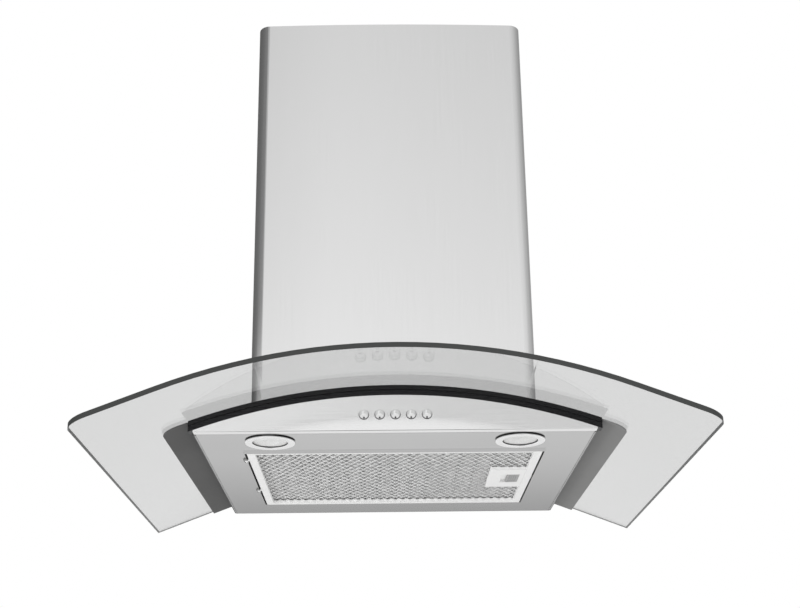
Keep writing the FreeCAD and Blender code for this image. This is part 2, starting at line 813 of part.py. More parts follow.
def chimney_outline(inset):
    """Left-to-right outline of a cover: side, round corner, bowed front, corner, side."""
    half = dim("chimney_width") / 2 - inset
    radius = dim("chimney_corner") - inset
    depth = dim("chimney_depth") - inset
    run = half - radius
    bow = dim("chimney_bow")
    slope = math.atan(2 * bow * run / (run ** 2 + bow ** 2))
    centre_y = -depth + radius * math.cos(slope)
    points = [(-half, centre_y)]
    mid = (math.pi / 2 - slope) / 2
    corner_mid = (-run - radius * math.cos(mid), centre_y - radius * math.sin(mid))
    corner_end = (-run - radius * math.sin(slope), -depth)
    mirrored = [(-x, y) for x, y in (corner_mid, corner_end)]
    steps = [(corner_mid, corner_end), ((0, -depth - bow), mirrored[1]), (mirrored[0], (half, centre_y))]
    return points[0], steps


def reverse_steps(start, steps):
    """The same outline walked the other way: returns its start and its steps."""
    stops = [start] + [step[-1] for step in steps]
    backwards = []
    for number in range(len(steps) - 1, -1, -1):
        end = stops[number]
        backwards.append((steps[number][0], end) if len(steps[number]) == 2 else (end,))
    return stops[-1], backwards


def chimney_cover(name, inset, rear, low, length, lip):
    """Folded U-shaped cover, open at the wall, with rear edges folded in by a lip."""
    body = new_body(name)
    thick = dim("sheet_thick")
    outer_start, outer_steps = chimney_outline(inset)
    inner_start, inner_back = reverse_steps(*chimney_outline(inset + thick))
    half = dim("chimney_width") / 2 - inset
    steps = [(outer_start,)] + outer_steps
    steps += [((half, rear),), ((half - lip, rear),), ((half - lip, rear - thick),)]
    steps += [((half - thick, rear - thick),), (inner_start,)] + inner_back
    steps += [((thick - half, rear - thick),), ((lip - half, rear - thick),), ((lip - half, rear),)]
    steps += [((-half, rear),)]
    section = new_sketch(body, "XY", low)
    add_path(section, (-half, rear), steps)
    pad(body, section, length)
    return body


def make_chimney_lower():
    body = chimney_cover("lower", 0, 0, "0", "Dims.chimney_top", 9)
    scribe = new_sketch(body, "XZ")
    arch_floor(scribe, glass_top() + 0.2, dim("chimney_width") / 2 + 5, -5)
    pocket(body, scribe)
    holes = new_sketch(body, "YZ")
    add_circle(holes, "Dims.clip_screw_y", "Dims.clip_screw_z", "2.1")
    pocket(body, holes)
    finish(body, "chimney_lower")


def make_chimney_upper():
    inset = dim("sheet_thick") + dim("chimney_clearance")
    body = chimney_cover("upper", inset, -2.5, "Dims.upper_low",
                         "Dims.chimney_top - 1 - Dims.upper_low", 7)
    slots = new_sketch(body, "YZ")
    for number in range(6):
        left = "-194 + %d" % (number * 26)
        add_rectangle(slots, left, left + " + 12", "Dims.chimney_top - 90", "Dims.chimney_top - 40")
    pocket(body, slots)
    finish(body, "chimney_upper")


def make_ceiling_bracket():
    """Folded strip that joins the top of the sliding cover to the wall."""
    body = new_body("bracket")
    plan = new_sketch(body, "XY", "Dims.chimney_top - 34")
    half = dim("chimney_width") / 2 - 3.2
    steps = [((half, -30),), ((half - 1.5, -30),), ((half - 1.5, -5.2),), ((1.5 - half, -5.2),)]
    steps += [((1.5 - half, -30),), ((-half, -30),), ((-half, -3.7),)]
    add_path(plan, (-half, -3.7), [((half, -3.7),)] + steps)
    pad(body, plan, "26")
    holes = new_sketch(body, "XZ")
    for side in ("-", ""):
        add_circle(holes, side + "90", "Dims.chimney_top - 21", "3.5")
    pocket(body, holes)
    finish(body, "ceiling_bracket")


def make_chimney_fixings():
    """Angle clips on the wall plate, and the screws that hold the lower cover to them."""
    clips = []
    screws = []
    half = "Dims.chimney_width / 2"
    axis = ("Dims.clip_screw_y", "Dims.clip_screw_z")
    for number, side in enumerate((-1, 1)):
        def span(near, far):
            return (near, far) if side > 0 else ("-(%s)" % far, "-(%s)" % near)
        foot = make_box("clip_foot", span("Dims.box_width / 2 + 1", half + " - 1.2"), ("-3", "-1.5"),
                        ("60", "85"))
        wing = make_box("clip_wing", span(half + " - 2.7", half + " - 1.2"), ("-26", "-1.5"), ("60", "85"))
        hole_x = half + " - 4" if side > 0 else "-(%s) - 1" % half
        hole = make_cylinder("clip_hole", "x", "2.1", "5", hole_x, *axis)
        clips.append(cut("clip%d" % number, fuse("clip%d" % number, [foot, wing]), [hole]))
        shank_x = half + " - 8" if side > 0 else "-(%s)" % half
        shank = make_cylinder("clip_shank", "x", "1.9", "8", shank_x, *axis)
        head_x = half if side > 0 else "-(%s) - 1.6" % half
        head = make_hexagon("clip_head", "x", 3.8, 1.6, head_x, *axis)
        screws.append(fuse("clip_screw%d" % number, [shank, head]))
    finish(group_of("clips", clips), "chimney_clips")
    finish(group_of("clip_screws", screws), "chimney_screws")


# ---------------------------------------------------------------- wall plate and motor box


def make_wall_plate():
    body = new_body("wall")
    outline = new_sketch(body, "XZ")
    add_rectangle(outline, "-Dims.plate_width / 2", "Dims.plate_width / 2", "6", "Dims.box_top + 12")
    pad(body, outline, "Dims.plate_thick")

    def is_corner(centre, box):
        return box.YLength > 1

    soften_edges(body, "Chamfer", 8.0, is_corner)
    holes = new_sketch(body, "XZ")
    for side in ("-", ""):
        for level in ("-", "+"):
            add_circle(holes, side + "Dims.hole_spacing_x / 2",
                       "Dims.mount_height %s Dims.hole_spacing_z / 2" % level, "Dims.hole_radius")
    pocket(body, holes)
    finish(body, "wall_plate")


def make_motor_box():
    """Sheet box over the body, open towards it, that the blower hangs in."""
    body = new_body("box")
    thick = dim("sheet_thick")
    half = dim("box_width") / 2
    front = -dim("box_depth")
    rear = -dim("plate_thick")
    plan = new_sketch(body, "XY")
    steps = [((-half, front),), ((half, front),), ((half, rear),), ((half - 9, rear),)]
    steps += [((half - 9, rear - thick),), ((half - thick, rear - thick),)]
    steps += [((half - thick, front + thick),), ((thick - half, front + thick),)]
    steps += [((thick - half, rear - thick),), ((9 - half, rear - thick),), ((9 - half, rear),)]
    add_path(plan, (-half, rear), steps + [((-half, rear),)])
    pad(body, plan, "Dims.box_top")
    lid = new_sketch(body, "XY", "Dims.box_top - Dims.sheet_thick")
    add_rectangle(lid, "-Dims.box_width / 2", "Dims.box_width / 2", "-Dims.box_depth", "-Dims.plate_thick")
    pad(body, lid, "Dims.sheet_thick")
    scribe = new_sketch(body, "XZ")
    arch_floor(scribe, shell_top() + 0.1, half + 5, -5)
    pocket(body, scribe)
    outlet = new_sketch(body, "XY", "Dims.box_top + 5")
    add_rectangle(outlet, "-Dims.outlet_wide / 2", "Dims.outlet_wide / 2",
                  "-Dims.collar_y - Dims.outlet_deep / 2", "-Dims.collar_y + Dims.outlet_deep / 2")
    pocket(body, outlet, "10")
    bolts = new_sketch(body, "XZ")
    for side in ("-", ""):
        add_circle(bolts, side + "Dims.hole_spacing_x / 2", "Dims.mount_height - Dims.hole_spacing_z / 2",
                   "Dims.hole_radius + 3")
        add_circle(bolts, side + "Dims.hole_spacing_x / 2", "Dims.mount_height + Dims.hole_spacing_z / 2",
                   "Dims.hole_radius + 3")
    pocket(body, bolts, "6", backwards=True)
    finish(body, "motor_box")


# ---------------------------------------------------------------- blower


def scroll_path(wall):
    """Outline of the scroll in (y, z): three growing quarter arcs, tongue and outlet."""
    step = 9.0
    start_radius = 80.0
    cy = -dim("fan_y")
    cz = dim("fan_height")
    top = dim("box_top") - 1.2
    radii = [start_radius + step * n + wall for n in range(3)]
    centres = [(cy + step / 2, cz - step / 2), (cy - step / 2, cz - step / 2),
               (cy - step / 2, cz + step / 2)]
    angles = [90, 0, -90, -180]
    outlet_front = centres[2][0] - radii[2]
    outlet_back = -dim("collar_y") + dim("outlet_deep") / 2 + wall
    tongue = 8.0 - wall     # radius of the rounded tongue
    roof = centres[0][1] + radii[0]

    def on_arc(number, angle):
        turn = math.radians(angle)
        centre = centres[number]
        return (centre[0] + radii[number] * math.cos(turn), centre[1] + radii[number] * math.sin(turn))

    start = (outlet_front, top)
    steps = [((outlet_back, top),), ((outlet_back, roof + tongue),)]
    bend = tongue * (1 - math.sqrt(0.5))
    steps.append(((outlet_back + bend, roof + bend), (outlet_back + tongue, roof)))
    steps.append(((centres[0][0], roof),))
    for number in range(3):
        middle = (angles[number] + angles[number + 1]) / 2
        steps.append((on_arc(number, middle), on_arc(number, angles[number + 1])))
    steps.append((start,))
    return start, steps


def make_fan_housing():
    """Scroll casing with a growing radius, a rounded tongue and an upward outlet."""
    body = new_body("scroll")
    outer = new_sketch(body, "YZ")
    add_path(outer, *scroll_path(2.0))
    pad(body, outer, "104", both_ways=True)
    inner = new_sketch(body, "YZ", "-50")
    start, steps = scroll_path(0.0)
    add_path(inner, start, steps)
    pocket(body, inner, "100", backwards=True)
    mouth = new_sketch(body, "YZ")
    add_circle(mouth, "-Dims.fan_y", "Dims.fan_height", "60.5")
    pocket(body, mouth, "60", backwards=True)
    shaft = new_sketch(body, "YZ")
    add_circle(shaft, "-Dims.fan_y", "Dims.fan_height", "14")
    pocket(body, shaft, "60")
    finish(body, "fan_housing")


def make_fan_turned(label, outline):
    """Piece turned about the fan's axis; outline holds (x, radius) points."""
    body = new_body(label)
    profile = new_sketch(body, "XZ")
    add_path(profile, outline[0], [(point,) for point in outline[1:] + outline[:1]])
    revolve(body, profile, "H_Axis")
    body.setExpression(".Placement.Base.y", "-Dims.fan_y")
    return body


def finish_fan(body, label):
    finish(body, label)
    body.setExpression(".Placement.Base.z", "Dims.fan_height - Dims.mount_height")


def make_blower():
    """Inlet ring, motor on its spacers, shaft and wheel, all about the fan's axis."""
    ring = [(52.1, 68), (53.6, 68), (53.6, 59.5), (43, 52.4), (43, 53.9), (52.1, 60)]
    finish_fan(make_fan_turned("inlet", ring), "inlet_ring")
    motor = [(-52.1, 4.05), (-52.1, 13.5), (-56, 13.5), (-56, 42), (-106, 42), (-116, 24), (-116, 4.05)]
    finish_fan(make_fan_turned("motor", motor), "motor")
    shaft = make_cylinder("shaft", "x", "Dims.shaft_radius", "90", "-118", "-Dims.fan_y", "Dims.fan_height")
    finish(shaft, "motor_shaft")
    make_impeller()
    make_motor_spacers()


def make_impeller():
    """Squirrel-cage wheel: back disc with a hub, forward-curved blades and a front ring."""
    outer = dim("fan_radius")
    half = dim("fan_width") / 2
    inner = outer - 12
    bore = dim("shaft_radius") + 0.02
    blades = 24
    disc_thick = 1.5
    ring_wide = 3.0
    disc = [(-half - 8, bore), (-half - 8, 10), (-half, 10), (-half, outer), (disc_thick - half, outer),
            (disc_thick - half, bore)]
    body = make_fan_turned("impeller", disc)
    thick = 0.9
    sweep = 6.0
    half_sweep = 1.4

    def ring_point(radius, along):
        return (radius * math.cos(along / radius), radius * math.sin(along / radius))

    root = ring_point(inner + 0.2, 0)
    tip = ring_point(outer - 0.4, sweep)
    middle = ring_point((inner + outer) / 2, half_sweep)
    back_tip = ring_point(outer - 0.4, sweep + thick)
    back_middle = ring_point((inner + outer) / 2, half_sweep + thick)
    back_root = ring_point(inner + 0.2, thick)
    blade = new_sketch(body, "YZ", "-Dims.fan_width / 2 + %s" % disc_thick)
    add_path(blade, root, [(middle, tip), (back_tip,), (back_middle, back_root), (root,)])
    vane = pad(body, blade, "Dims.fan_width - %s" % (disc_thick + ring_wide))
    pattern = body.newObject("PartDesign::PolarPattern", "impeller_blades")
    pattern.Originals = [vane]
    x_axis = [o for o in body.Origin.OriginFeatures if o.Role == "X_Axis"][0]
    pattern.Axis = (x_axis, [""])
    pattern.Angle = 360
    pattern.Occurrences = blades
    body.Tip = pattern
    doc.recompute()
    ring = new_sketch(body, "XZ")
    outline = [(half - ring_wide, inner), (half, inner), (half, outer), (half - ring_wide, outer)]
    add_path(ring, outline[0], [(point,) for point in outline[1:] + outline[:1]])
    revolve(body, ring, "H_Axis")
    finish_fan(body, "impeller")


def make_motor_spacers():
    """Three rubber blocks between the motor and the casing's side."""
    blocks = []
    circle = 25.0
    for number in range(3):
        turn = math.radians(90 + 120 * number)
        y = "(-Dims.fan_y + %.4f)" % (circle * math.cos(turn))
        z = "(Dims.fan_height + %.4f)" % (circle * math.sin(turn))
        blocks.append(make_box("motor_spacer", ("-55.95", "-52.15"), (y + " - 5", y + " + 5"),
                               (z + " - 5", z + " + 5")))
    finish(group_of("motor_spacers", blocks), "motor_spacers")


# ---------------------------------------------------------------- outlet collar and flaps


def make_outlet_collar():
    """Flange, square socket that widens into a cone, round spigot and the flaps' stop ledge."""
    wall = dim("collar_wall")
    radius = dim("collar_radius")
    half_wide = dim("outlet_wide") / 2
    half_deep = dim("outlet_deep") / 2
    neck_top = "Dims.flap_height - Dims.box_top - 8"
    body = new_body("collar")
    flange = new_sketch(body, "XY")
    add_rectangle(flange, "-62", "62", "-60", "60")
    pad(body, flange, "2")
    high = expression_value(body, neck_top)

    def cone(kind, inset):
        half = new_sketch(body, "XZ")
        corners = [(0, 0), (half_deep + wall - inset, 0), (radius - inset, high), (0, high)]
        add_path(half, corners[0], [(point,) for point in corners[1:] + corners[:1]])
        revolve(body, half, "V_Axis", kind)

    socket = new_sketch(body, "XY")
    add_rectangle(socket, str(-half_wide - wall), str(half_wide + wall),
                  str(-half_deep - wall), str(half_deep + wall))
    pad(body, socket, neck_top)
    cone("Revolution", 0)
    spigot = new_sketch(body, "XY", neck_top)
    add_circle(spigot, "0", "0", "Dims.collar_radius")
    pad(body, spigot, "Dims.collar_top - Dims.flap_height + 8")
    way = new_sketch(body, "XY")
    add_rectangle(way, str(-half_wide), str(half_wide), str(-half_deep), str(half_deep))
    pocket(body, way)
    cone("Groove", wall)
    bore = new_sketch(body, "XY", neck_top)
    add_circle(bore, "0", "0", "Dims.collar_radius - Dims.collar_wall")
    pocket(body, bore, "Dims.collar_top", backwards=True)
    ledge = new_sketch(body, "XY", "Dims.flap_height - Dims.box_top - 2.1")
    add_circle(ledge, "0", "0", "Dims.collar_radius - 0.5")
    add_circle(ledge, "0", "0", "Dims.collar_radius - 5")
    pad(body, ledge, "2")
    pins = new_sketch(body, "YZ")
    add_circle(pins, "0", "Dims.flap_height - Dims.box_top + 2.6", "1.55")
    pocket(body, pins)
    body.setExpression(".Placement.Base.y", "-Dims.collar_y")
    finish(body, "outlet_collar")
    body.setExpression(".Placement.Base.z", "Dims.box_top + 0.05 - Dims.mount_height")


PIN_HEIGHT = "Dims.flap_height + 2.65"
KNUCKLES = {-1: (-60, -4), 1: (4, 60)}


def make_flap(label, side):
    """Half-round flap with a long knuckle on the cross pin; side is -1 in front, +1 behind."""
    radius = dim("collar_radius") - dim("collar_wall") - 0.8
    body = new_body(label)
    plate = new_sketch(body, "XY", "Dims.flap_height")
    edge = 3.6
    half = math.sqrt(radius ** 2 - edge ** 2)
    add_path(plate, (-half, side * edge), [((0, side * radius), (half, side * edge)),
                                           ((-half, side * edge),)])
    pad(body, plate, "1.2")
    axis_y = "-Dims.collar_y"
    body.setExpression(".Placement.Base.y", axis_y)
    low, high = KNUCKLES[side]
    arm_reach = 4.2
    reach = [axis_y, "%s + %s" % (axis_y, side * arm_reach)][::side]
    knuckle = make_cylinder(label + "_knuckle", "x", "3", str(high - low), str(low), axis_y, PIN_HEIGHT)
    arm = make_box(label + "_arm", (str(low), str(high)), reach,
                   ("Dims.flap_height", "Dims.flap_height + 1.2"))
    bore = make_cylinder(label + "_bore", "x", "1.55", str(high - low + 2), str(low - 1), axis_y, PIN_HEIGHT)
    finish(cut(label, fuse(label, [body, knuckle, arm]), [bore]), label)


def make_flap_pin():
    finish(make_cylinder("flap_pin", "x", "1.5", "2 * Dims.collar_radius - 0.4",
                         "-Dims.collar_radius + 0.2", "-Dims.collar_y", PIN_HEIGHT), "damper_pin")


# ---------------------------------------------------------------- electrical pieces


BOX_LID = "Dims.box_top + 0.05"


def make_capacitor():
    """Motor capacitor lying on the box, held by a clip that is open at the top."""
    middle = ("-45", BOX_LID + " + 15.2")
    can = make_cylinder("can", "x", "14", "50", "-118", *middle)
    tabs = make_box("can_tabs", ("-68", "-61"), ("-50", "-40"), (BOX_LID + " + 12", BOX_LID + " + 19"))
    finish(fuse("can", [can, tabs]), "capacitor")
    clip = make_box("clip_outer", ("-100", "-86"), ("-61", "-29"), (BOX_LID, BOX_LID + " + 23"))
    bed = make_cylinder("clip_bed", "x", "14.2", "20", "-103", *middle)
    mouth = make_box("clip_mouth", ("-103", "-83"), ("-57", "-33"), (BOX_LID + " + 20", BOX_LID + " + 31"))
    finish(cut("can_clip", clip, [bed, mouth]), "capacitor_clip")


def make_transformer():
    """Lamp transformer: a block with bevelled upright edges."""
    block = make_box("transformer", ("62", "120"), ("-72", "-28"), (BOX_LID, BOX_LID + " + 30"))
    bevelled = doc.addObject("Part::Chamfer", "transformer_bevelled")
    bevelled.Base = block
    doc.recompute()
    bevel = 3.0
    upright = [n for n, e in enumerate(block.Shape.Edges, start=1) if e.BoundBox.ZLength > 20]
    bevelled.Edges = [(n, bevel, bevel) for n in upright]
    finish(bevelled, "lamp_transformer")


def make_terminal_box():
    """Open box on the motor box's right side, its cover, and the mains cable's gland on top."""
    side = "Dims.box_width / 2 + 0.05"
    gland_x = side + " + 10"
    gland_y = "-82"
    shell = make_box("terminal_shell", (side, side + " + 19"), ("-112", "-52"), ("190", "246"))
    hollow = make_box("terminal_hollow", (side + " + 1.5", side + " + 20"), ("-110", "-54"), ("192", "244"))
    cable = make_cylinder("terminal_hole", "z", "5.1", "6", gland_x, gland_y, "242")
    finish(cut("terminal", shell, [hollow, cable]), "terminal_box")
    cover = make_box("terminal_lid", (side + " + 19.05", side + " + 20.8"), ("-113", "-51"), ("189", "247"))
    finish(cover, "terminal_cover")
    neck = make_cylinder("gland_neck", "z", "5", "5", gland_x, gland_y, "242.5")
    nut = make_hexagon("gland_nut", "z", 9, 9, gland_x, gland_y, "246.05")
    bore = make_cylinder("gland_bore", "z", "3.6", "20", gland_x, gland_y, "240")
    finish(cut("gland", fuse("gland", [neck, nut]), [bore]), "cable_gland")


# ---------------------------------------------------------------- build and write


def check_document():
    """Stop if any object failed or any sub-part is not a sound solid."""
    doc.recompute()
    for obj in doc.Objects:
        if "Invalid" in obj.State or "Error" in obj.State:
            raise ValueError("%s (%s) failed: %s" % (obj.Label, obj.Name, obj.State))
    for obj in sub_parts:
        if obj.Shape.isNull() or not obj.Shape.isValid() or not obj.Shape.Solids:
            raise ValueError("%s has no valid solid" % obj.Label)


def main():
    make_glass()
    make_glass_gasket()
    make_glass_screws()
    make_canopy_shell()
    make_front_panel()
    make_front_trim()
    make_side_wing("side_wing_left", -1)
    make_side_wing("side_wing_right", 1)
    make_bottom_pan()
    make_hinges()
    make_filter_frame()
    make_filter_media()
    make_filter_latch()
    make_lamp("left", "-")
    make_lamp("right", "")
    make_buttons()
    make_switch_block()
    make_chimney_lower()
    make_chimney_upper()
    make_ceiling_bracket()
    make_chimney_fixings()
    make_wall_plate()
    make_motor_box()
    make_fan_housing()
    make_blower()
    make_outlet_collar()
    make_flap("damper_flap_front", -1)
    make_flap("damper_flap_back", 1)
    make_flap_pin()
    make_capacitor()
    make_transformer()
    make_terminal_box()
    check_document()
    os.makedirs("parts", exist_ok=True)
    for obj in sub_parts:
        obj.Shape.exportStep(os.path.join("parts", obj.Label + ".step"))
        print("%-22s solids %2d  volume %10.1f" % (obj.Label, len(obj.Shape.Solids), obj.Shape.Volume))


main()
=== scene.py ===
import json
import math
import bmesh
import bpy
from mathutils import Matrix, Vector

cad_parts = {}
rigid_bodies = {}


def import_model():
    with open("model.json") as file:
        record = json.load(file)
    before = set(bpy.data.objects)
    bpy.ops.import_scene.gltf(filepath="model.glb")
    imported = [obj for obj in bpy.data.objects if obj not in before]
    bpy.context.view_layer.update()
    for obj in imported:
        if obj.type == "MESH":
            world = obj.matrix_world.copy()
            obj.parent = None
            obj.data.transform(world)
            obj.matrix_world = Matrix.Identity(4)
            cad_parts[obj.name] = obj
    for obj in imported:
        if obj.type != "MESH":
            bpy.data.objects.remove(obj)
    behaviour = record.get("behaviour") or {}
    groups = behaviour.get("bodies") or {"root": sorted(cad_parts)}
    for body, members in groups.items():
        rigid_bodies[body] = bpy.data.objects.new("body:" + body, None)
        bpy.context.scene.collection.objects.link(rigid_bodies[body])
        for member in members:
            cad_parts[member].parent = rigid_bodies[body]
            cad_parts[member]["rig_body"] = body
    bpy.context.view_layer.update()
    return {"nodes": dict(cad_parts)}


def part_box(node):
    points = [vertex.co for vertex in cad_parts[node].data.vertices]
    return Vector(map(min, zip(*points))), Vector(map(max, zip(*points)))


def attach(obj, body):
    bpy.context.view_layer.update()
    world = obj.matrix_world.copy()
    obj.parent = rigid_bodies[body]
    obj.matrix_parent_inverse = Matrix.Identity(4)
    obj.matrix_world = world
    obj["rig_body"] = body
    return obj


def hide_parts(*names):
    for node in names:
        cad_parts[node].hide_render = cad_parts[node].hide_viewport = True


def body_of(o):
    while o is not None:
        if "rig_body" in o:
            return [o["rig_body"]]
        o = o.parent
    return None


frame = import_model()
cad = frame["nodes"]
scene = bpy.context.scene
mm = 0.001
print("frame loaded,", len(cad), "CAD pieces")

# places on the hood that several pieces need, read from the frame, in metres
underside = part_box("bottom_pan")[0].z
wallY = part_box("wall_plate")[1].y


# small helpers for material trees

def newMaterial(name):
    material = bpy.data.materials.new(name)
    material.use_nodes = True
    return material.node_tree, material.node_tree.nodes["Principled BSDF"]


def addNode(tree, kind, **settings):
    node = tree.nodes.new(kind)
    for key, value in settings.items():
        if key in node.inputs:
            node.inputs[key].default_value = value
        else:
            setattr(node, key, value)
    return node


def objectPattern(tree, scale=(1, 1, 1), turn=(0, 0, 0)):
    # a small scale along an axis stretches the pattern into streaks along it
    place = tree.nodes.new("ShaderNodeTexCoord")
    mapping = addNode(tree, "ShaderNodeMapping", Scale=scale, Rotation=turn)
    tree.links.new(place.outputs["Object"], mapping.inputs["Vector"])
    return mapping.outputs["Vector"]


def noise(tree, vector, scale, detail=2.0, roughness=0.5):
    node = addNode(tree, "ShaderNodeTexNoise", Scale=scale, Detail=detail, Roughness=roughness)
    tree.links.new(vector, node.inputs["Vector"])
    return node.outputs["Fac"]


def ramp(tree, value, low, high, start=0.35, end=0.65):
    node = tree.nodes.new("ShaderNodeMapRange")
    node.inputs["From Min"].default_value = start
    node.inputs["From Max"].default_value = end
    node.inputs["To Min"].default_value = low
    node.inputs["To Max"].default_value = high
    tree.links.new(value, node.inputs["Value"])
    return node.outputs["Result"]


def calculate(tree, operation, *values):
    # works in material, world and geometry trees alike
    node = tree.nodes.new("ShaderNodeMath")
    node.operation = operation
    for socket, value in zip(node.inputs, values):
        if isinstance(value, (int, float)):
            socket.default_value = value
        else:
            tree.links.new(value, socket)
    return node.outputs[0]


def mixColours(tree, factor, first, second):
    node = addNode(tree, "ShaderNodeMix", data_type="RGBA")
    node.inputs["A"].default_value = (*first, 1)
    node.inputs["B"].default_value = (*second, 1)
    tree.links.new(factor, node.inputs["Factor"])
    return node.outputs["Result"]


def setColour(tree, shader, factor, first, second):
    tree.links.new(mixColours(tree, factor, first, second), shader.inputs["Base Color"])


def setRoughness(tree, shader, value, low, high, start=0.35, end=0.65):
    tree.links.new(ramp(tree, value, low, high, start, end), shader.inputs["Roughness"])


def bump(tree, shader, height, depth, strength):
    node = addNode(tree, "ShaderNodeBump", Distance=depth, Strength=strength)
    tree.links.new(height, node.inputs["Height"])
    tree.links.new(node.outputs["Normal"], shader.inputs["Normal"])


def grey(level):
    return (level, level, level)


# metals: brushed sheet, coated sheet, zinc spangle, polished and foil

def brushedSteel(name, shade, grain, rough, spread):
    # grain is the pattern's scale: the axis with the small number is the way the brushing runs
    brush = {"hairlines": 3800, "streaks": 700, "clouds": 5, "hairShare": 0.65, "roughChange": 0.03,
             "cloudChange": 0.015, "brightest": 0.97}
    tree, shader = newMaterial(name)
    hairlines = noise(tree, objectPattern(tree, grain), brush["hairlines"], 3, 0.6)
    streaks = noise(tree, objectPattern(tree, grain), brush["streaks"], 3, 0.55)
    clouds = noise(tree, objectPattern(tree), brush["clouds"], 2)
    marks = calculate(tree, "ADD", calculate(tree, "MULTIPLY", hairlines, brush["hairShare"]),
                      calculate(tree, "MULTIPLY", streaks, 1 - brush["hairShare"]))
    shader.inputs["Metallic"].default_value = 1
    dark = grey(shade * (1 - spread))
    light = grey(min(brush["brightest"], shade * (1 + spread)))
    setColour(tree, shader, ramp(tree, marks, 0, 1), dark, light)
    change, cloudChange = brush["roughChange"], brush["cloudChange"]
    polish = calculate(tree, "ADD", ramp(tree, marks, rough - change, rough + change),
                       ramp(tree, clouds, -cloudChange, cloudChange))
    tree.links.new(polish, shader.inputs["Roughness"])
    bump(tree, shader, marks, depth=0.00001, strength=0.25)


def satinGrey(name, shade, rough=0.42):
    # dark coated steel with a faint brushed grain under the coat
    coat = {"grain": 2200, "patches": 14, "spread": 0.06, "roughChange": 0.03, "gloss": 0.06}
    tree, shader = newMaterial(name)
    grain = noise(tree, objectPattern(tree, (1, 0.02, 1)), coat["grain"], 3, 0.6)
    patches = noise(tree, objectPattern(tree), coat["patches"], 2)
    setColour(tree, shader, grain, grey(shade * (1 - coat["spread"])), grey(shade * (1 + coat["spread"])))
    setRoughness(tree, shader, patches, rough - coat["roughChange"], rough + coat["roughChange"])
    shader.inputs["Specular IOR Level"].default_value = coat["gloss"]
    bump(tree, shader, grain, depth=0.00001, strength=0.3)


def galvanised(name):
    # zinc spangle: flat crystals of slightly different grey
    spangle = {"crystals": 130.0, "dark": (0.47, 0.48, 0.49), "light": (0.62, 0.63, 0.64),
               "smooth": 0.34, "rough": 0.5}
    tree, shader = newMaterial(name)
    place = objectPattern(tree)
    cells = addNode(tree, "ShaderNodeTexVoronoi", Scale=spangle["crystals"])
    tree.links.new(place, cells.inputs["Vector"])
    shades = tree.nodes.new("ShaderNodeSeparateColor")
    tree.links.new(cells.outputs["Color"], shades.inputs["Color"])
    shader.inputs["Metallic"].default_value = 1
    setColour(tree, shader, shades.outputs["Red"], spangle["dark"], spangle["light"])
    setRoughness(tree, shader, shades.outputs["Green"], spangle["smooth"], spangle["rough"], 0, 1)
    bump(tree, shader, noise(tree, place, 700, 3), depth=0.00004, strength=0.3)


def polishedMetal(name, colour, rough, wear=0.04):
    tree, shader = newMaterial(name)
    smears = noise(tree, objectPattern(tree), 140, 4, 0.6)
    shader.inputs["Metallic"].default_value = 1
    setColour(tree, shader, smears, [part * (1 - wear) for part in colour], colour)
    setRoughness(tree, shader, smears, rough, rough + wear)
    bump(tree, shader, smears, depth=0.00001, strength=0.3)


def foilMetal(name, shade, mirror):
    # soft bright aluminium: part mirror, part matt
    tree, shader = newMaterial(name)
    handled = noise(tree, objectPattern(tree), 260, 3, 0.6)
    shader.inputs["Metallic"].default_value = mirror
    setColour(tree, shader, handled, grey(shade * 0.9), grey(shade))
    setRoughness(tree, shader, handled, 0.28, 0.4)
    bump(tree, shader, handled, depth=0.00005, strength=0.3)


def pleatedFoil(name):
    # layers of slit aluminium foil: short bright and dark flecks in two directions, with a painted shadow
    # along the back edge
    foil = {
        "flecks": 420,
        "stretch": 0.35,
        "slant": 0.5,           # radians either way
        "dark": 0.56,
        "bright": 0.97,
        "backEdge": -0.0685,    # metres along y, where a painted shadow darkens the pleats behind the rim
        "backFade": 0.0035,
        "shadow": 0.02,
    }
    tree, shader = newMaterial(name)
    stretch, slant = foil["stretch"], foil["slant"]
    across = noise(tree, objectPattern(tree, (1, stretch, 1), (0, 0, slant)), foil["flecks"], 3, 0.6)
    along = noise(tree, objectPattern(tree, (stretch, 1, 1), (0, 0, -slant)), foil["flecks"], 3, 0.6)
    flecks = calculate(tree, "MULTIPLY", across, along)
    place = tree.nodes.new("ShaderNodeSeparateXYZ")
    tree.links.new(objectPattern(tree), place.inputs["Vector"])
    # painted shadow: full colour in front, falling towards the shadow grey at the back edge
    paintedLightLevel = ramp(tree, place.outputs["Y"], 1, 0.04, foil["backEdge"], foil["backEdge"] + foil["backFade"])
    shine = calculate(tree, "MULTIPLY", ramp(tree, flecks, 0, 1, 0.14, 0.36), paintedLightLevel)
    colour = addNode(tree, "ShaderNodeMix", data_type="RGBA")
    colour.inputs["A"].default_value = (*grey(foil["shadow"]), 1)
    tree.links.new(mixColours(tree, shine, grey(foil["dark"]), grey(foil["bright"])), colour.inputs["B"])
    tree.links.new(paintedLightLevel, colour.inputs["Factor"])
    tree.links.new(colour.outputs["Result"], shader.inputs["Base Color"])
    shader.inputs["Metallic"].default_value = 0.5
    shader.inputs["Roughness"].default_value = 0.38
    bump(tree, shader, flecks, depth=0.0006, strength=0.8)


# plastics, rubber, paint and glass

def moulded(name, colour, rough, grain=1500, depth=0.00003, gloss=0.5):
    tree, shader = newMaterial(name)
    place = objectPattern(tree)
    pebbles = noise(tree, place, grain, 3, 0.6)
    patches = noise(tree, place, 18, 2)
    dark = [part * 0.9 for part in colour]
    light = [min(1, part * 1.08) for part in colour]
    setColour(tree, shader, patches, dark, light)
    setRoughness(tree, shader, patches, rough - 0.03, rough + 0.03)
    shader.inputs["Specular IOR Level"].default_value = gloss
    bump(tree, shader, pebbles, depth, strength=0.5)


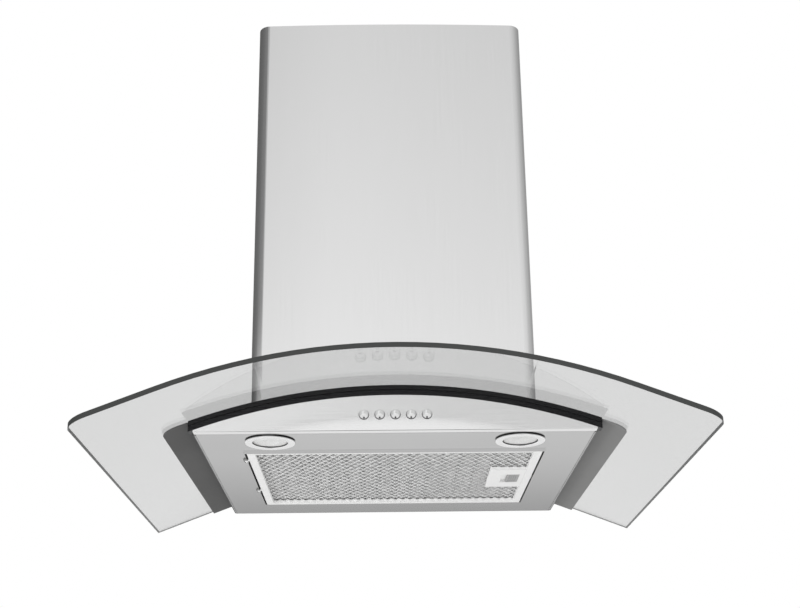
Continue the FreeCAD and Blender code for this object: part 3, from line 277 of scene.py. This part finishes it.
def trimPlastic(name):
    # black extruded strip: faint lines run the way it was drawn
    tree, shader = newMaterial(name)
    lines = noise(tree, objectPattern(tree, (0.01, 1, 1)), 900, 3, 0.6)
    setColour(tree, shader, lines, (0.004, 0.004, 0.0045), (0.012, 0.012, 0.013))
    setRoughness(tree, shader, lines, 0.20, 0.34)
    shader.inputs["Specular IOR Level"].default_value = 0.2
    bump(tree, shader, lines, depth=0.00003, strength=0.4)


def canopyGlass(name):
    # clear sheet with a light grey tint that depends on how far the light runs in it
    glass = {"tint": (0.985, 0.985, 0.985), "ior": 1.32, "absorbed": (0.40, 0.41, 0.405), "density": 50.0}
    tree, shader = newMaterial(name)
    shader.inputs["Base Color"].default_value = (*glass["tint"], 1)
    shader.inputs["Transmission Weight"].default_value = 1
    shader.inputs["IOR"].default_value = glass["ior"]
    setRoughness(tree, shader, noise(tree, objectPattern(tree), 9, 1), 0.0, 0.01)
    inside = addNode(tree, "ShaderNodeVolumeAbsorption", Density=glass["density"])
    inside.inputs["Color"].default_value = (*glass["absorbed"], 1)
    tree.links.new(inside.outputs["Volume"], tree.nodes["Material Output"].inputs["Volume"])


def groundGlass(name):
    # the cut edges of the canopy are ground to an even dark grey
    tree, shader = newMaterial(name)
    grit = noise(tree, objectPattern(tree), 2500, 3, 0.6)
    setColour(tree, shader, grit, (0.026, 0.028, 0.027), (0.036, 0.038, 0.037))
    setRoughness(tree, shader, grit, 0.3, 0.42)
    bump(tree, shader, grit, depth=0.00002, strength=0.3)


def lampGlass(name):
    tree, shader = newMaterial(name)
    frost = noise(tree, objectPattern(tree), 1800, 3)
    shader.inputs["Base Color"].default_value = (0.97, 0.97, 0.97, 1)
    shader.inputs["Transmission Weight"].default_value = 0.25
    shader.inputs["IOR"].default_value = 1.45
    setRoughness(tree, shader, frost, 0.25, 0.4)
    bump(tree, shader, frost, depth=0.00003, strength=0.4)


brushedSheets = {
    "chimneySteel": {"shade": 0.80, "grain": (1, 1, 0.012), "rough": 0.14, "spread": 0.02},
    "panelSteel": {"shade": 0.84, "grain": (0.012, 1, 1), "rough": 0.17, "spread": 0.025},
    # painted shade: the pan is the same steel as the fascia, with a much lower shade for the downward-facing
    # underside
    "panSteel": {"shade": 0.48, "grain": (0.012, 1, 1), "rough": 0.15, "spread": 0.03},
    "shellSteel": {"shade": 0.60, "grain": (0.012, 1, 0.012), "rough": 0.26, "spread": 0.04},
}
# the wings are one dark coated steel: the left is given a darker shade as painted shade and the right a
# lighter one as painted light
wingLitAndShadedLevels = {"wingLeftSteel": 0.096, "wingRightSteel": 0.202}
for name, sheet in brushedSheets.items():
    brushedSteel(name, **sheet)
for name, shade in wingLitAndShadedLevels.items():
    satinGrey(name, shade)
trimPlastic("blackTrim")
moulded("blackPlastic", (0.03, 0.03, 0.032), 0.45)
moulded("whitePlastic", (0.74, 0.74, 0.72), 0.42)
moulded("rubber", (0.02, 0.02, 0.02), 0.75, grain=2200, depth=0.00005, gloss=0.3)
moulded("motorPaint", (0.07, 0.075, 0.08), 0.4, grain=1100, depth=0.00005)
polishedMetal("chrome", (0.86, 0.86, 0.865), 0.06)
polishedMetal("paleChrome", (0.93, 0.93, 0.93), 0.16)
polishedMetal("zinc", (0.66, 0.66, 0.64), 0.25, wear=0.1)
polishedMetal("latchMetal", (0.50, 0.50, 0.50), 0.3, wear=0.1)
polishedMetal("mirrorCup", (0.86, 0.86, 0.86), 0.1)
foilMetal("satinRim", 1.0, mirror=0.35)
foilMetal("meshMetal", 1.0, mirror=0.3)
# painted shade: the deeper mesh layer is the same aluminium, made darker than the face layer
foilMetal("fineMeshMetal", 0.92, mirror=0.55)
pleatedFoil("foilCore")
galvanised("galvanisedSheet")
canopyGlass("clearGlass")
groundGlass("edgeGlass")
lampGlass("frostedGlass")
print("materials made")

finishes = {
    "chimneySteel": ["chimney_lower", "chimney_upper"],
    "panelSteel": ["front_panel"],
    "panSteel": ["bottom_pan", "hinge_brackets"],
    "shellSteel": ["canopy_shell"],
    "wingLeftSteel": ["side_wing_left"],
    "wingRightSteel": ["side_wing_right"],
    "blackTrim": ["front_trim"],
    "clearGlass": ["glass_canopy"],
    "rubber": ["glass_gasket", "glass_washers", "motor_spacers"],
    "zinc": ["glass_screws", "hinge_pins", "chimney_screws", "motor_shaft", "damper_pin"],
    "latchMetal": ["filter_latch"],
    "galvanisedSheet": ["ceiling_bracket", "chimney_clips", "wall_plate", "motor_box",
                        "fan_housing", "inlet_ring", "impeller", "capacitor_clip"],
    "satinRim": ["filter_frame", "filter_latch_plate"],
    "meshMetal": ["filter_mesh_lower", "filter_mesh_upper"],
    "foilCore": ["filter_core"],
    "blackPlastic": ["switch_block", "outlet_collar", "terminal_box", "terminal_cover", "cable_gland"],
    "whitePlastic": ["damper_flap_front", "damper_flap_back", "capacitor", "lamp_transformer"],
    "motorPaint": ["motor"],
    "mirrorCup": ["lamp_reflector_left", "lamp_reflector_right"],
    "frostedGlass": ["lamp_lens_left", "lamp_lens_right", "lamp_bulb_left", "lamp_bulb_right"],
    "paleChrome": ["lamp_bezel_left", "lamp_bezel_right"],
    "chrome": ["button_%d" % number for number in range(1, 6)],
}
for finish, names in finishes.items():
    for name in names:
        cad[name].data.materials.clear()
        cad[name].data.materials.append(bpy.data.materials[finish])
print("finishes given to the CAD pieces")


# pieces that keep the CAD shape, with eased edges and smooth shading

def keepNormals(piece, sharp):
    piece.data.shade_smooth()
    piece.data.set_sharp_from_angle(angle=math.radians(sharp))
    weighted = piece.modifiers.new("flatFacesStayFlat", "WEIGHTED_NORMAL")
    weighted.keep_sharp = True


easing = {
    "weld": 0.00001,        # metres
    "flat": 0.4,            # degrees, below which facets are merged
    "smooth": 34,           # degrees, below which neighbours are shaded as one surface
    "corner": 38,           # degrees, above which an edge is eased
    "segments": 2,
}
easedEdges = {   # CAD piece: (material slot, how far its edges are eased, in millimetres)
    "glass_canopy": ("glass", 0.6),
    "chimney_lower": ("steel", 0.0),
    "chimney_upper": ("steel", 0.0),
    "front_panel": ("steel", 0.3),
    "front_trim": ("black_trim", 0.5),
    "bottom_pan": ("steel", 0.25),
    "side_wing_left": ("dark_steel", 0.2),
    "side_wing_right": ("dark_steel", 0.2),
    "filter_frame": ("filter_rim", 0.3),
    "filter_latch_plate": ("filter_rim", 0.25),
    "filter_latch": ("zinc", 0.15),
    "outlet_collar": ("housing_plastic", 0.0),
    "fan_housing": ("galvanised", 0.0),
    "inlet_ring": ("galvanised", 0.0),
    "motor": ("motor_metal", 0.0),
}


def finishedCopy(node, width):
    mesh = cad[node].data.copy()
    mesh.name = node + "_finished"
    work = bmesh.new()
    work.from_mesh(mesh)
    bmesh.ops.remove_doubles(work, verts=work.verts, dist=easing["weld"])
    flat = math.radians(easing["flat"])
    bmesh.ops.dissolve_limit(work, angle_limit=flat, verts=work.verts, edges=work.edges)
    work.to_mesh(mesh)
    work.free()
    piece = bpy.data.objects.new(mesh.name, mesh)
    scene.collection.objects.link(piece)
    if width:
        eased = piece.modifiers.new("easedEdges", "BEVEL")
        eased.width = width
        eased.segments = easing["segments"]
        eased.limit_method = "ANGLE"
        eased.angle_limit = math.radians(easing["corner"])
        eased.use_clamp_overlap = True
    keepNormals(piece, easing["smooth"])
    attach(piece, body_of(cad[node])[0])
    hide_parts(node)
    return piece


def grindEdges(canopy):
    # the sheet's faces never turn this far from straight up or down, so the rest are its cut edges
    steepest = 0.68
    canopy.data.materials.append(bpy.data.materials["edgeGlass"])
    for face in canopy.data.polygons:
        if abs(face.normal.z) < steepest:
            face.material_index = 1


for node, (slotName, width) in easedEdges.items():
    piece = finishedCopy(node, width * mm)
    if node == "glass_canopy":
        piece.visible_shadow = False
        grindEdges(piece)
print("smooth pieces made")


# turned pieces: outline points are (radius, height) along the axis, in millimetres

turning = {
    "weld": 0.005,      # millimetres
    "smooth": 50,       # degrees, below which neighbours are shaded as one surface
}


def turnedPiece(name, outline, place, axis, steps, finish, body, nodes):
    work = bmesh.new()
    points = [work.verts.new((radius * mm, 0, height * mm)) for radius, height in outline]
    edges = [work.edges.new(pair) for pair in zip(points, points[1:])]
    bmesh.ops.spin(work, geom=points + edges, cent=(0, 0, 0), axis=(0, 0, 1), angle=math.tau, steps=steps)
    bmesh.ops.remove_doubles(work, verts=work.verts, dist=turning["weld"] * mm)
    turn = Vector((0, 0, 1)).rotation_difference(Vector(axis)).to_matrix().to_4x4()
    bmesh.ops.transform(work, matrix=Matrix.Translation(place) @ turn, verts=work.verts)
    bmesh.ops.recalc_face_normals(work, faces=work.faces)
    mesh = bpy.data.meshes.new(name)
    work.to_mesh(mesh)
    work.free()
    piece = bpy.data.objects.new(name, mesh)
    piece.data.materials.append(bpy.data.materials[finish])
    scene.collection.objects.link(piece)
    keepNormals(piece, turning["smooth"])
    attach(piece, body)
    if nodes:
        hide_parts(*nodes)


def arcPoints(centre, radius, start, end, count):
    angles = [math.radians(start + (end - start) * step / count) for step in range(count + 1)]
    return [(centre[0] + radius * math.cos(angle), centre[1] + radius * math.sin(angle)) for angle in angles]


lamp = {   # millimetres; heights are from the underside of the pan, upwards
    "outer": 25.5,
    "inner": 17.7,
    "drop": 2.1,            # how far the ring hangs below the pan
    "outerLip": 0.35,       # roundings of the ring
    "innerLip": 0.7,
    "flange": 1.0,          # thickness of its rim, which stands off on a dark seal
    "seat": 19.3,           # inside of the neck
    "seatHeight": -0.5,
    "seatEdge": (0.2, 0.25),    # across and down, where the bore meets the seat
    "neck": 22.9,
    "neckTop": 6.0,
    "seal": 24.4,
    "sealInset": 0.1,       # clear of the neck
    "sealGap": 0.02,        # clear of the rim and of the pan
    "sealEdge": 0.3,
    "shadeRing": 17.2,          # dark ring inside, down to the cover: painted shade inside the bore
    "shadeRingInset": 0.05,     # clear of the bore
    "shadeRingDrop": 1.65,
    "shadeRingTop": -0.55,
    "shadeRingEdge": 0.2,
    # outline of the cover: a flat rim round a shallow dish
    "cover": [(0, 0.25), (7.2, 0.2), (8.0, -0.35), (8.8, -0.5), (14, -0.5), (19.0, -0.5),
              (19.0, 1.0), (0, 1.0)],
    "steps": 96,
}


def ringOutline():
    outer, inner, low = lamp["outer"], lamp["inner"], -lamp["drop"]
    top = low + lamp["flange"]
    outerLip, innerLip = lamp["outerLip"], lamp["innerLip"]
    edgeAcross, edgeDown = lamp["seatEdge"]
    outline = [(outer, top)]
    outline += arcPoints((outer - outerLip, low + outerLip), outerLip, 0, -90, 6)
    outline += arcPoints((inner + innerLip, low + innerLip), innerLip, -90, -180, 5)
    outline += [(inner, lamp["seatHeight"] - edgeDown), (inner + edgeAcross, lamp["seatHeight"])]
    outline += [(lamp["seat"], lamp["seatHeight"]), (lamp["seat"], lamp["neckTop"])]
    outline += [(lamp["neck"], lamp["neckTop"]), (lamp["neck"], top), (outer, top)]
    return outline


def sealOutline():
    inside, outside = lamp["neck"] + lamp["sealInset"], lamp["seal"]
    bottom, top = lamp["flange"] - lamp["drop"] + lamp["sealGap"], -lamp["sealGap"]
    edge = lamp["sealEdge"]
    return [(inside, bottom), (outside - edge, bottom), (outside, bottom + edge),
            (outside, top), (inside, top), (inside, bottom)]


# a black ring that stands in for the shade inside the lamp's bore
def shadeRingOutline():
    inside, outside = lamp["shadeRing"], lamp["inner"] - lamp["shadeRingInset"]
    bottom, top = -lamp["shadeRingDrop"], lamp["shadeRingTop"]
    edge = lamp["shadeRingEdge"]
    return [(inside, bottom + edge), (inside + edge, bottom), (outside, bottom),
            (outside, top), (inside, top), (inside, bottom + edge)]


def lampPiece(name, outline, finish, node, nodes):
    low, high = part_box(node)
    middle = ((low.x + high.x) / 2, (low.y + high.y) / 2, underside)
    turnedPiece(name, outline, middle, (0, 0, 1), lamp["steps"], finish, "hood", nodes)


for side in ("left", "right"):
    bezel, lens = "lamp_bezel_" + side, "lamp_lens_" + side
    lampPiece("lamp_ring_" + side, ringOutline(), "paleChrome", bezel, [bezel])
    lampPiece("lamp_seal_" + side, sealOutline(), "rubber", bezel, [])
    lampPiece("lamp_shade_ring_" + side, shadeRingOutline(), "blackPlastic", bezel, [])
    lampPiece("lamp_cover_" + side, lamp["cover"], "frostedGlass", lens, [lens])

button = {
    "radius": 4.8,      # millimetres
    "side": 1.4,        # straight part of the cap in front of the panel
    "dome": 3.2,
    "domeSteps": 12,
    "back": 2.4,
    "backEdge": 0.3,
    "steps": 64,
}


def makeButton(number):
    name = "button_%d" % number
    low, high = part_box(name)
    radius, side, dome, back, edge = (button[key] for key in ("radius", "side", "dome", "back", "backEdge"))
    middle = ((low.x + high.x) / 2, low.y + (side + dome) * mm, (low.z + high.z) / 2)
    quarter = [math.pi / 2 * step / button["domeSteps"] for step in range(button["domeSteps"] + 1)]
    outline = [(radius * math.sin(angle), side + dome * math.cos(angle)) for angle in quarter]
    outline += [(radius, edge - back), (radius - edge, -back), (0, -back)]
    turnedPiece("button_cap_%d" % number, outline, middle, (0, -1, 0), button["steps"], "chrome",
                name, [name])


for number in range(1, 6):
    makeButton(number)
print("lamp rings, lamp covers and buttons turned")


# expanded metal: two layers of slit and stretched aluminium, built by Geometry Nodes

def treeInputs(tree, sizes):
    for name, (kind, value) in sizes.items():
        socket = tree.interface.new_socket(name, in_out="INPUT", socket_type=kind)
        socket.default_value = value


def strandTree(material):
    # one strand on every half cell; neighbours lean opposite ways, which makes the diamonds
    tree = bpy.data.node_groups.new("strandLattice", "GeometryNodeTree")
    treeInputs(tree, {
        "Cell width": ("NodeSocketFloat", 0.009),
        "Cell length": ("NodeSocketFloat", 0.016),
        "Columns": ("NodeSocketInt", 64),
        "Rows": ("NodeSocketInt", 30),
        "Strand width": ("NodeSocketFloat", 0.001),
        "Strand thickness": ("NodeSocketFloat", 0.0003),
        "Lean": ("NodeSocketFloat", 0.5),
        "Unevenness": ("NodeSocketFloat", 0.12),
        "Overlap": ("NodeSocketFloat", 1.06),
        "Seed": ("NodeSocketInt", 3),
    })
    tree.interface.new_socket("Geometry", in_out="OUTPUT", socket_type="NodeSocketGeometry")
    entry = tree.nodes.new("NodeGroupInput").outputs
    end = tree.nodes.new("NodeGroupOutput")

    # a grid point in the middle of every strand
    halfWide = calculate(tree, "MULTIPLY", entry["Cell width"], 0.5)
    halfLong = calculate(tree, "MULTIPLY", entry["Cell length"], 0.5)
    gapsAcross = calculate(tree, "SUBTRACT", entry["Columns"], 1.0)
    gapsAlong = calculate(tree, "SUBTRACT", entry["Rows"], 1.0)
    grid = tree.nodes.new("GeometryNodeMeshGrid")
    tree.links.new(calculate(tree, "MULTIPLY", halfWide, gapsAcross), grid.inputs["Size X"])
    tree.links.new(calculate(tree, "MULTIPLY", halfLong, gapsAlong), grid.inputs["Size Y"])
    tree.links.new(entry["Columns"], grid.inputs["Vertices X"])
    tree.links.new(entry["Rows"], grid.inputs["Vertices Y"])

    # heading: the cell's diagonal, one way on even points and the other on odd ones
    number = tree.nodes.new("GeometryNodeInputIndex").outputs[0]
    column = calculate(tree, "FLOOR", calculate(tree, "DIVIDE", number, entry["Rows"]))
    row = calculate(tree, "MODULO", number, entry["Rows"])
    odd = calculate(tree, "MODULO", calculate(tree, "ADD", column, row), 2.0)
    slope = calculate(tree, "ARCTAN2", halfLong, halfWide)
    heading = calculate(tree, "MULTIPLY", slope, calculate(tree, "MULTIPLY_ADD", odd, 2.0, -1.0))
    uneven = addNode(tree, "FunctionNodeRandomValue", data_type="FLOAT")
    tree.links.new(calculate(tree, "MULTIPLY", entry["Unevenness"], -1.0), uneven.inputs[2])
    tree.links.new(entry["Unevenness"], uneven.inputs[3])
    tree.links.new(entry["Seed"], uneven.inputs["Seed"])
    turn = tree.nodes.new("ShaderNodeCombineXYZ")
    tree.links.new(calculate(tree, "ADD", entry["Lean"], uneven.outputs[1]), turn.inputs["X"])
    tree.links.new(heading, turn.inputs["Z"])

    # a strand is a flat bar a little longer than half the cell's diagonal
    wideSquared = calculate(tree, "MULTIPLY", halfWide, halfWide)
    longSquared = calculate(tree, "MULTIPLY", halfLong, halfLong)
    diagonal = calculate(tree, "SQRT", calculate(tree, "ADD", wideSquared, longSquared))
    size = tree.nodes.new("ShaderNodeCombineXYZ")
    tree.links.new(calculate(tree, "MULTIPLY", diagonal, entry["Overlap"]), size.inputs["X"])
    tree.links.new(entry["Strand width"], size.inputs["Y"])
    tree.links.new(entry["Strand thickness"], size.inputs["Z"])
    strand = tree.nodes.new("GeometryNodeMeshCube")
    tree.links.new(size.outputs[0], strand.inputs["Size"])

    spread = tree.nodes.new("GeometryNodeInstanceOnPoints")
    tree.links.new(grid.outputs["Mesh"], spread.inputs["Points"])
    tree.links.new(strand.outputs["Mesh"], spread.inputs["Instance"])
    tree.links.new(turn.outputs[0], spread.inputs["Rotation"])
    real = tree.nodes.new("GeometryNodeRealizeInstances")
    painted = addNode(tree, "GeometryNodeSetMaterial", Material=material)
    tree.links.new(spread.outputs["Instances"], real.inputs["Geometry"])
    tree.links.new(real.outputs["Geometry"], painted.inputs["Geometry"])
    tree.links.new(painted.outputs["Geometry"], end.inputs[0])
    return tree


def builtByNodes(name, tree, values, place):
    # values go in by socket identifier before the first evaluation; the result becomes a plain mesh
    source = bpy.data.objects.new(name + "_source", bpy.data.meshes.new(name + "_empty"))
    scene.collection.objects.link(source)
    modifier = source.modifiers.new("build", "NODES")
    modifier.node_group = tree
    for item in tree.interface.items_tree:
        if item.in_out == "INPUT" and item.name in values:
            modifier[item.identifier] = values[item.name]
    bpy.context.view_layer.update()
    evaluated = source.evaluated_get(bpy.context.evaluated_depsgraph_get())
    mesh = bpy.data.meshes.new_from_object(evaluated)
    source.modifiers.remove(modifier)
    bpy.data.objects.remove(source)
    mesh.name = name
    mesh.transform(Matrix.Translation(place))
    piece = bpy.data.objects.new(name, mesh)
    scene.collection.objects.link(piece)
    return piece


filterMesh = {   # millimetres, from the middle of the CAD piece; lean is each strand's twist in radians
    "filter_face_mesh": {"metal": "meshMetal", "cellWidth": 9.1, "cellLength": 15.6, "strand": 2.5,
                         "thickness": 0.3, "lean": 0.32, "lift": -0.15, "short": 0.0, "seed": 3,
                         "nodes": ["filter_mesh_lower"]},
    # this layer stops short of the rim at the back
    "filter_fine_mesh": {"metal": "fineMeshMetal", "cellWidth": 4.6, "cellLength": 7.9, "strand": 0.8,
                         "thickness": 0.3, "lean": 0.32, "lift": 0.2, "short": 14.0, "seed": 8,
                         "nodes": []},
}


def makeMeshLayer(name, layer):
    low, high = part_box("filter_mesh_lower")
    width = (high.x - low.x) / mm - layer["strand"]
    depth = (high.y - low.y) / mm - layer["strand"] - layer["short"]
    values = {
        "Cell width": layer["cellWidth"] * mm,
        "Cell length": layer["cellLength"] * mm,
        "Columns": int(width / (layer["cellWidth"] / 2)),
        "Rows": int(depth / (layer["cellLength"] / 2)),
        "Strand width": layer["strand"] * mm,
        "Strand thickness": layer["thickness"] * mm,
        "Lean": layer["lean"],
        "Seed": layer["seed"],
    }
    place = (low + high) / 2 + Vector((0, -layer["short"] / 2 * mm, layer["lift"] * mm))
    piece = builtByNodes(name, strandTree(bpy.data.materials[layer["metal"]]), values, place)
    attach(piece, "filter")
    if layer["nodes"]:
        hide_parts(*layer["nodes"])
    print(name, len(piece.data.polygons), "faces")


for name, layer in filterMesh.items():
    makeMeshLayer(name, layer)

panLip = {   # millimetres
    "left": -157.5,
    "right": 157.5,
    "front": -311.0,
    "sink": 0.05,       # how far its front edge stands out of the pan
    "gap": 0.15,        # to the filter frame
    "rise": 0.6,        # into the pan
}


def makePanLip():
    # shallow ramp that closes the gap along the filter's front edge
    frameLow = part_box("filter_frame")[0]
    front, back = panLip["front"] * mm, frameLow.y - panLip["gap"] * mm
    top = underside + panLip["rise"] * mm
    outline = [(front, underside - panLip["sink"] * mm), (back, frameLow.z + panLip["gap"] * mm),
               (back, top), (front, top)]
    work = bmesh.new()
    left, right = ([work.verts.new((panLip[end] * mm, along, height)) for along, height in outline]
                   for end in ("left", "right"))
    work.faces.new(left)
    work.faces.new(right)
    for number in range(len(outline)):
        work.faces.new((left[number], left[number - 1], right[number - 1], right[number]))
    bmesh.ops.recalc_face_normals(work, faces=work.faces)
    mesh = bpy.data.meshes.new("pan_front_lip")
    work.to_mesh(mesh)
    work.free()
    piece = bpy.data.objects.new("pan_front_lip", mesh)
    piece.data.materials.append(bpy.data.materials["panSteel"])
    scene.collection.objects.link(piece)
    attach(piece, "hood")


makePanLip()
print("filter mesh and pan lip made")


# surroundings: pale floor, white world, soft lamps

studio = {
    "diffuseLevel": 0.85,
    # degrees round from the front and level, as reflections that run upwards see the surroundings
    "roundabout": [(-180, 0.25), (-165, 0.16), (-110, 0.16), (-70, 0.20), (-36, 0.28), (-20, 0.52),
                   (-11, 0.93), (-5, 1.0), (45, 0.82), (84, 0.58), (120, 0.42), (165, 0.42), (180, 0.25)],
    # the same, for reflections that run level or only a little upwards
    "roundaboutLow": [(-180, 0.25), (-165, 0.16), (-110, 0.16), (-70, 0.4), (-40, 0.9), (-20, 1.0),
                      (0, 1.0), (45, 0.82), (84, 0.58), (120, 0.42), (165, 0.42), (180, 0.25)],
    "lowEnds": (0.28, 0.35),    # heights of the direction between which the second list gives way
    # height of the direction, 0 level and 1 straight up, and level
    "upwards": [(0.0, 1.02), (0.3, 1.0), (0.6, 0.78), (1.0, 0.78)],
    # degrees round and level of the white background as it is seen through the glass
    "throughGlass": [(-180, 0.84), (-40, 0.9), (-20, 1.32), (-7, 1.24), (2, 0.9), (180, 0.84)],
}
floor = {   # metres
    "drop": 1.4,                # below the underside of the hood
    "size": 24,
    "colour": (0.82, 0.82, 0.81),
    "fade": (1.6, 5.0),         # distances over which it turns into the white background
    # y and level, as reflections see the floor
    "seen": [(-12.0, 0.9), (1.0, 0.9), (2.6, 0.96), (4.8, 0.96), (5.4, 0.82), (6.0, 0.62),
             (6.7, 0.38), (8.0, 0.24)],
    # dark cooking surface under the hood, which only reflections see
    "hobMiddle": (0.0, -0.86),
    "hobReach": (0.42, 0.84),
    "hobLevel": 0.04,
    "hobEdge": (0.8, 1.25),
}
lamps = {   # metres and watts
    "keyLamp": {"place": (0.9, -2.2, 1.1), "target": (0, -0.2, 0), "size": 1.6, "power": 14},
    "lowLamp": {"place": (-1.9, -1.0, -0.5), "target": (0, -0.2, -0.1), "size": 0.9, "power": 22},
    "topLamp": {"place": (0.1, -0.3, 1.9), "target": (0, -0.2, 0), "size": 1.8, "power": 10},
}


def levelRamp(tree, value, stops):
    first, last = stops[0][0], stops[-1][0]
    node = tree.nodes.new("ShaderNodeValToRGB")
    marks = node.color_ramp.elements
    for number, (place, level) in enumerate(stops):
        position = (place - first) / (last - first)
        mark = marks[number] if number < 2 else marks.new(position)
        mark.position = position
        mark.color = (*grey(level), 1)
    tree.links.new(ramp(tree, value, 0, 1, first, last), node.inputs["Fac"])
    return node.outputs["Color"]


def mixLevels(tree, factor, first, second):
    node = tree.nodes.new("ShaderNodeMix")
    tree.links.new(factor, node.inputs["Factor"])
    for socket, value in ((node.inputs["A"], first), (node.inputs["B"], second)):
        if isinstance(value, (int, float)):
            socket.default_value = value
        else:
            tree.links.new(value, socket)
    return node.outputs["Result"]


def mixShaders(tree, factor, first, second):
    node = tree.nodes.new("ShaderNodeMixShader")
    tree.links.new(factor, node.inputs["Fac"])
    tree.links.new(first.outputs[0], node.inputs[1])
    tree.links.new(second.outputs[0], node.inputs[2])
    return node


def distanceFrom(tree, spot, middle=(0, 0), reach=(1, 1)):
    squares = []
    for socket, centre, length in zip((spot.outputs["X"], spot.outputs["Y"]), middle, reach):
        share = calculate(tree, "DIVIDE", calculate(tree, "SUBTRACT", socket, centre), length)
        squares.append(calculate(tree, "POWER", share, 2))
    return calculate(tree, "SQRT", calculate(tree, "ADD", *squares))


def floorPaint():
    tree, shader = newMaterial("floorPaint")
    speckle = noise(tree, objectPattern(tree), 3, 3)
    setColour(tree, shader, speckle, [part * 0.98 for part in floor["colour"]], floor["colour"])
    shader.inputs["Roughness"].default_value = 0.8
    rays = tree.nodes.new("ShaderNodeLightPath")
    seen = calculate(tree, "MAXIMUM", rays.outputs["Is Camera Ray"], rays.outputs["Is Transmission Ray"])
    unseen = calculate(tree, "SUBTRACT", 1, seen)
    mirrored = calculate(tree, "MULTIPLY", rays.outputs["Is Glossy Ray"], unseen)
    spot = tree.nodes.new("ShaderNodeSeparateXYZ")
    tree.links.new(objectPattern(tree), spot.inputs["Vector"])
    # what the camera sees, also through the glass, turns white with distance
    white = addNode(tree, "ShaderNodeEmission", Strength=1.0)
    away = ramp(tree, distanceFrom(tree, spot), 0, 1, *floor["fade"])
    direct = mixShaders(tree, calculate(tree, "MULTIPLY", away, seen), shader, white)
    # reflections see an even pale floor, dark right under the hood and fading far behind it
    reflection = tree.nodes.new("ShaderNodeEmission")
    fromHob = distanceFrom(tree, spot, floor["hobMiddle"], floor["hobReach"])
    tree.links.new(levelRamp(tree, spot.outputs["Y"], floor["seen"]), reflection.inputs["Color"])
    shade = ramp(tree, fromHob, floor["hobLevel"], 1, *floor["hobEdge"])
    tree.links.new(shade, reflection.inputs["Strength"])
    upper = mixShaders(tree, mirrored, direct, reflection)
    # from beneath, the floor is clear, so that it never hides the underside
    faces = tree.nodes.new("ShaderNodeNewGeometry")
    beneath = tree.nodes.new("ShaderNodeBsdfTransparent")
    both = mixShaders(tree, faces.outputs["Backfacing"], upper, beneath)
    tree.links.new(both.outputs[0], tree.nodes["Material Output"].inputs["Surface"])


def makeFloor():
    bpy.ops.mesh.primitive_plane_add(size=floor["size"], location=(0, 0, underside - floor["drop"]))
    plane = bpy.context.object
    plane.name = "floor"
    floorPaint()
    plane.data.materials.append(bpy.data.materials["floorPaint"])


def makeWorld():
    world = bpy.data.worlds.new("studioWorld")
    scene.world = world
    world.use_nodes = True
    tree = world.node_tree
    background = tree.nodes["Background"]
    rays = tree.nodes.new("ShaderNodeLightPath")
    place = tree.nodes.new("ShaderNodeTexCoord")
    way = tree.nodes.new("ShaderNodeSeparateXYZ")
    tree.links.new(place.outputs["Generated"], way.inputs["Vector"])
    frontwards = calculate(tree, "MULTIPLY", way.outputs["Y"], -1)
    bearing = calculate(tree, "DEGREES", calculate(tree, "ARCTAN2", way.outputs["X"], frontwards))
    # reflections: white in front, darker to the sides and behind, a little darker high up
    around = addNode(tree, "ShaderNodeMix", data_type="RGBA")
    tree.links.new(levelRamp(tree, bearing, studio["roundaboutLow"]), around.inputs["A"])
    tree.links.new(levelRamp(tree, bearing, studio["roundabout"]), around.inputs["B"])
    tree.links.new(ramp(tree, way.outputs["Z"], 0, 1, *studio["lowEnds"]), around.inputs["Factor"])
    higher = levelRamp(tree, way.outputs["Z"], studio["upwards"])
    reflected = calculate(tree, "MULTIPLY", around.outputs["Result"], higher)
    lighting = mixLevels(tree, rays.outputs["Is Glossy Ray"], studio["diffuseLevel"], reflected)
    # the camera sees white, also through the glass
    behindGlass = levelRamp(tree, bearing, studio["throughGlass"])
    white = mixLevels(tree, rays.outputs["Is Transmission Ray"], 1, behindGlass)
    clear = calculate(tree, "MAXIMUM", rays.outputs["Is Camera Ray"], rays.outputs["Is Transmission Ray"])
    tree.links.new(mixLevels(tree, clear, lighting, white), background.inputs["Strength"])
    background.inputs["Color"].default_value = (1, 1, 1, 1)


def addLamp(name, place, target, size, power):
    data = bpy.data.lights.new(name, "AREA")
    data.shape = "RECTANGLE"
    data.size = size
    data.size_y = size
    data.energy = power
    source = bpy.data.objects.new(name, data)
    source.location = place
    source.rotation_euler = (Vector(target) - Vector(place)).to_track_quat("-Z", "Y").to_euler()
    source.visible_glossy = False       # the world's own levels are what metal and glass show
    source.visible_transmission = False
    scene.collection.objects.link(source)


makeFloor()
makeWorld()
for name, settings in lamps.items():
    addLamp(name, **settings)
scene.view_settings.view_transform = "Standard"
print("surroundings made")

photoCamera = {   # found by fitting the hood's own corners to the photo
    "left": 0.01382,       # metres left of the middle
    "front": 1.55917,      # in front of the wall
    "below": 0.33582,      # under the underside
    "pitch": 0.3152,       # radians
    "yaw": 0.0159,
    "roll": -0.0133,
    "lens": 55.79,
    "shiftY": 0.1,
}


def makeCamera():
    pitch, yaw, roll = (photoCamera[key] for key in ("pitch", "yaw", "roll"))
    forward = Vector((math.sin(yaw) * math.cos(pitch), math.cos(yaw) * math.cos(pitch), math.sin(pitch)))
    level = Vector((math.cos(yaw), -math.sin(yaw), 0))
    rise = level.cross(forward)
    right = level * math.cos(roll) + rise * math.sin(roll)
    up = rise * math.cos(roll) - level * math.sin(roll)
    data = bpy.data.cameras.new("photoCamera")
    data.lens = photoCamera["lens"]
    data.shift_y = photoCamera["shiftY"]
    camera = bpy.data.objects.new("photoCamera", data)
    turn = Matrix((right, up, -forward)).transposed().to_4x4()
    place = Vector((-photoCamera["left"], wallY - photoCamera["front"], underside - photoCamera["below"]))
    camera.matrix_world = Matrix.Translation(place) @ turn
    scene.collection.objects.link(camera)
    scene.camera = camera


makeCamera()
print("camera made")
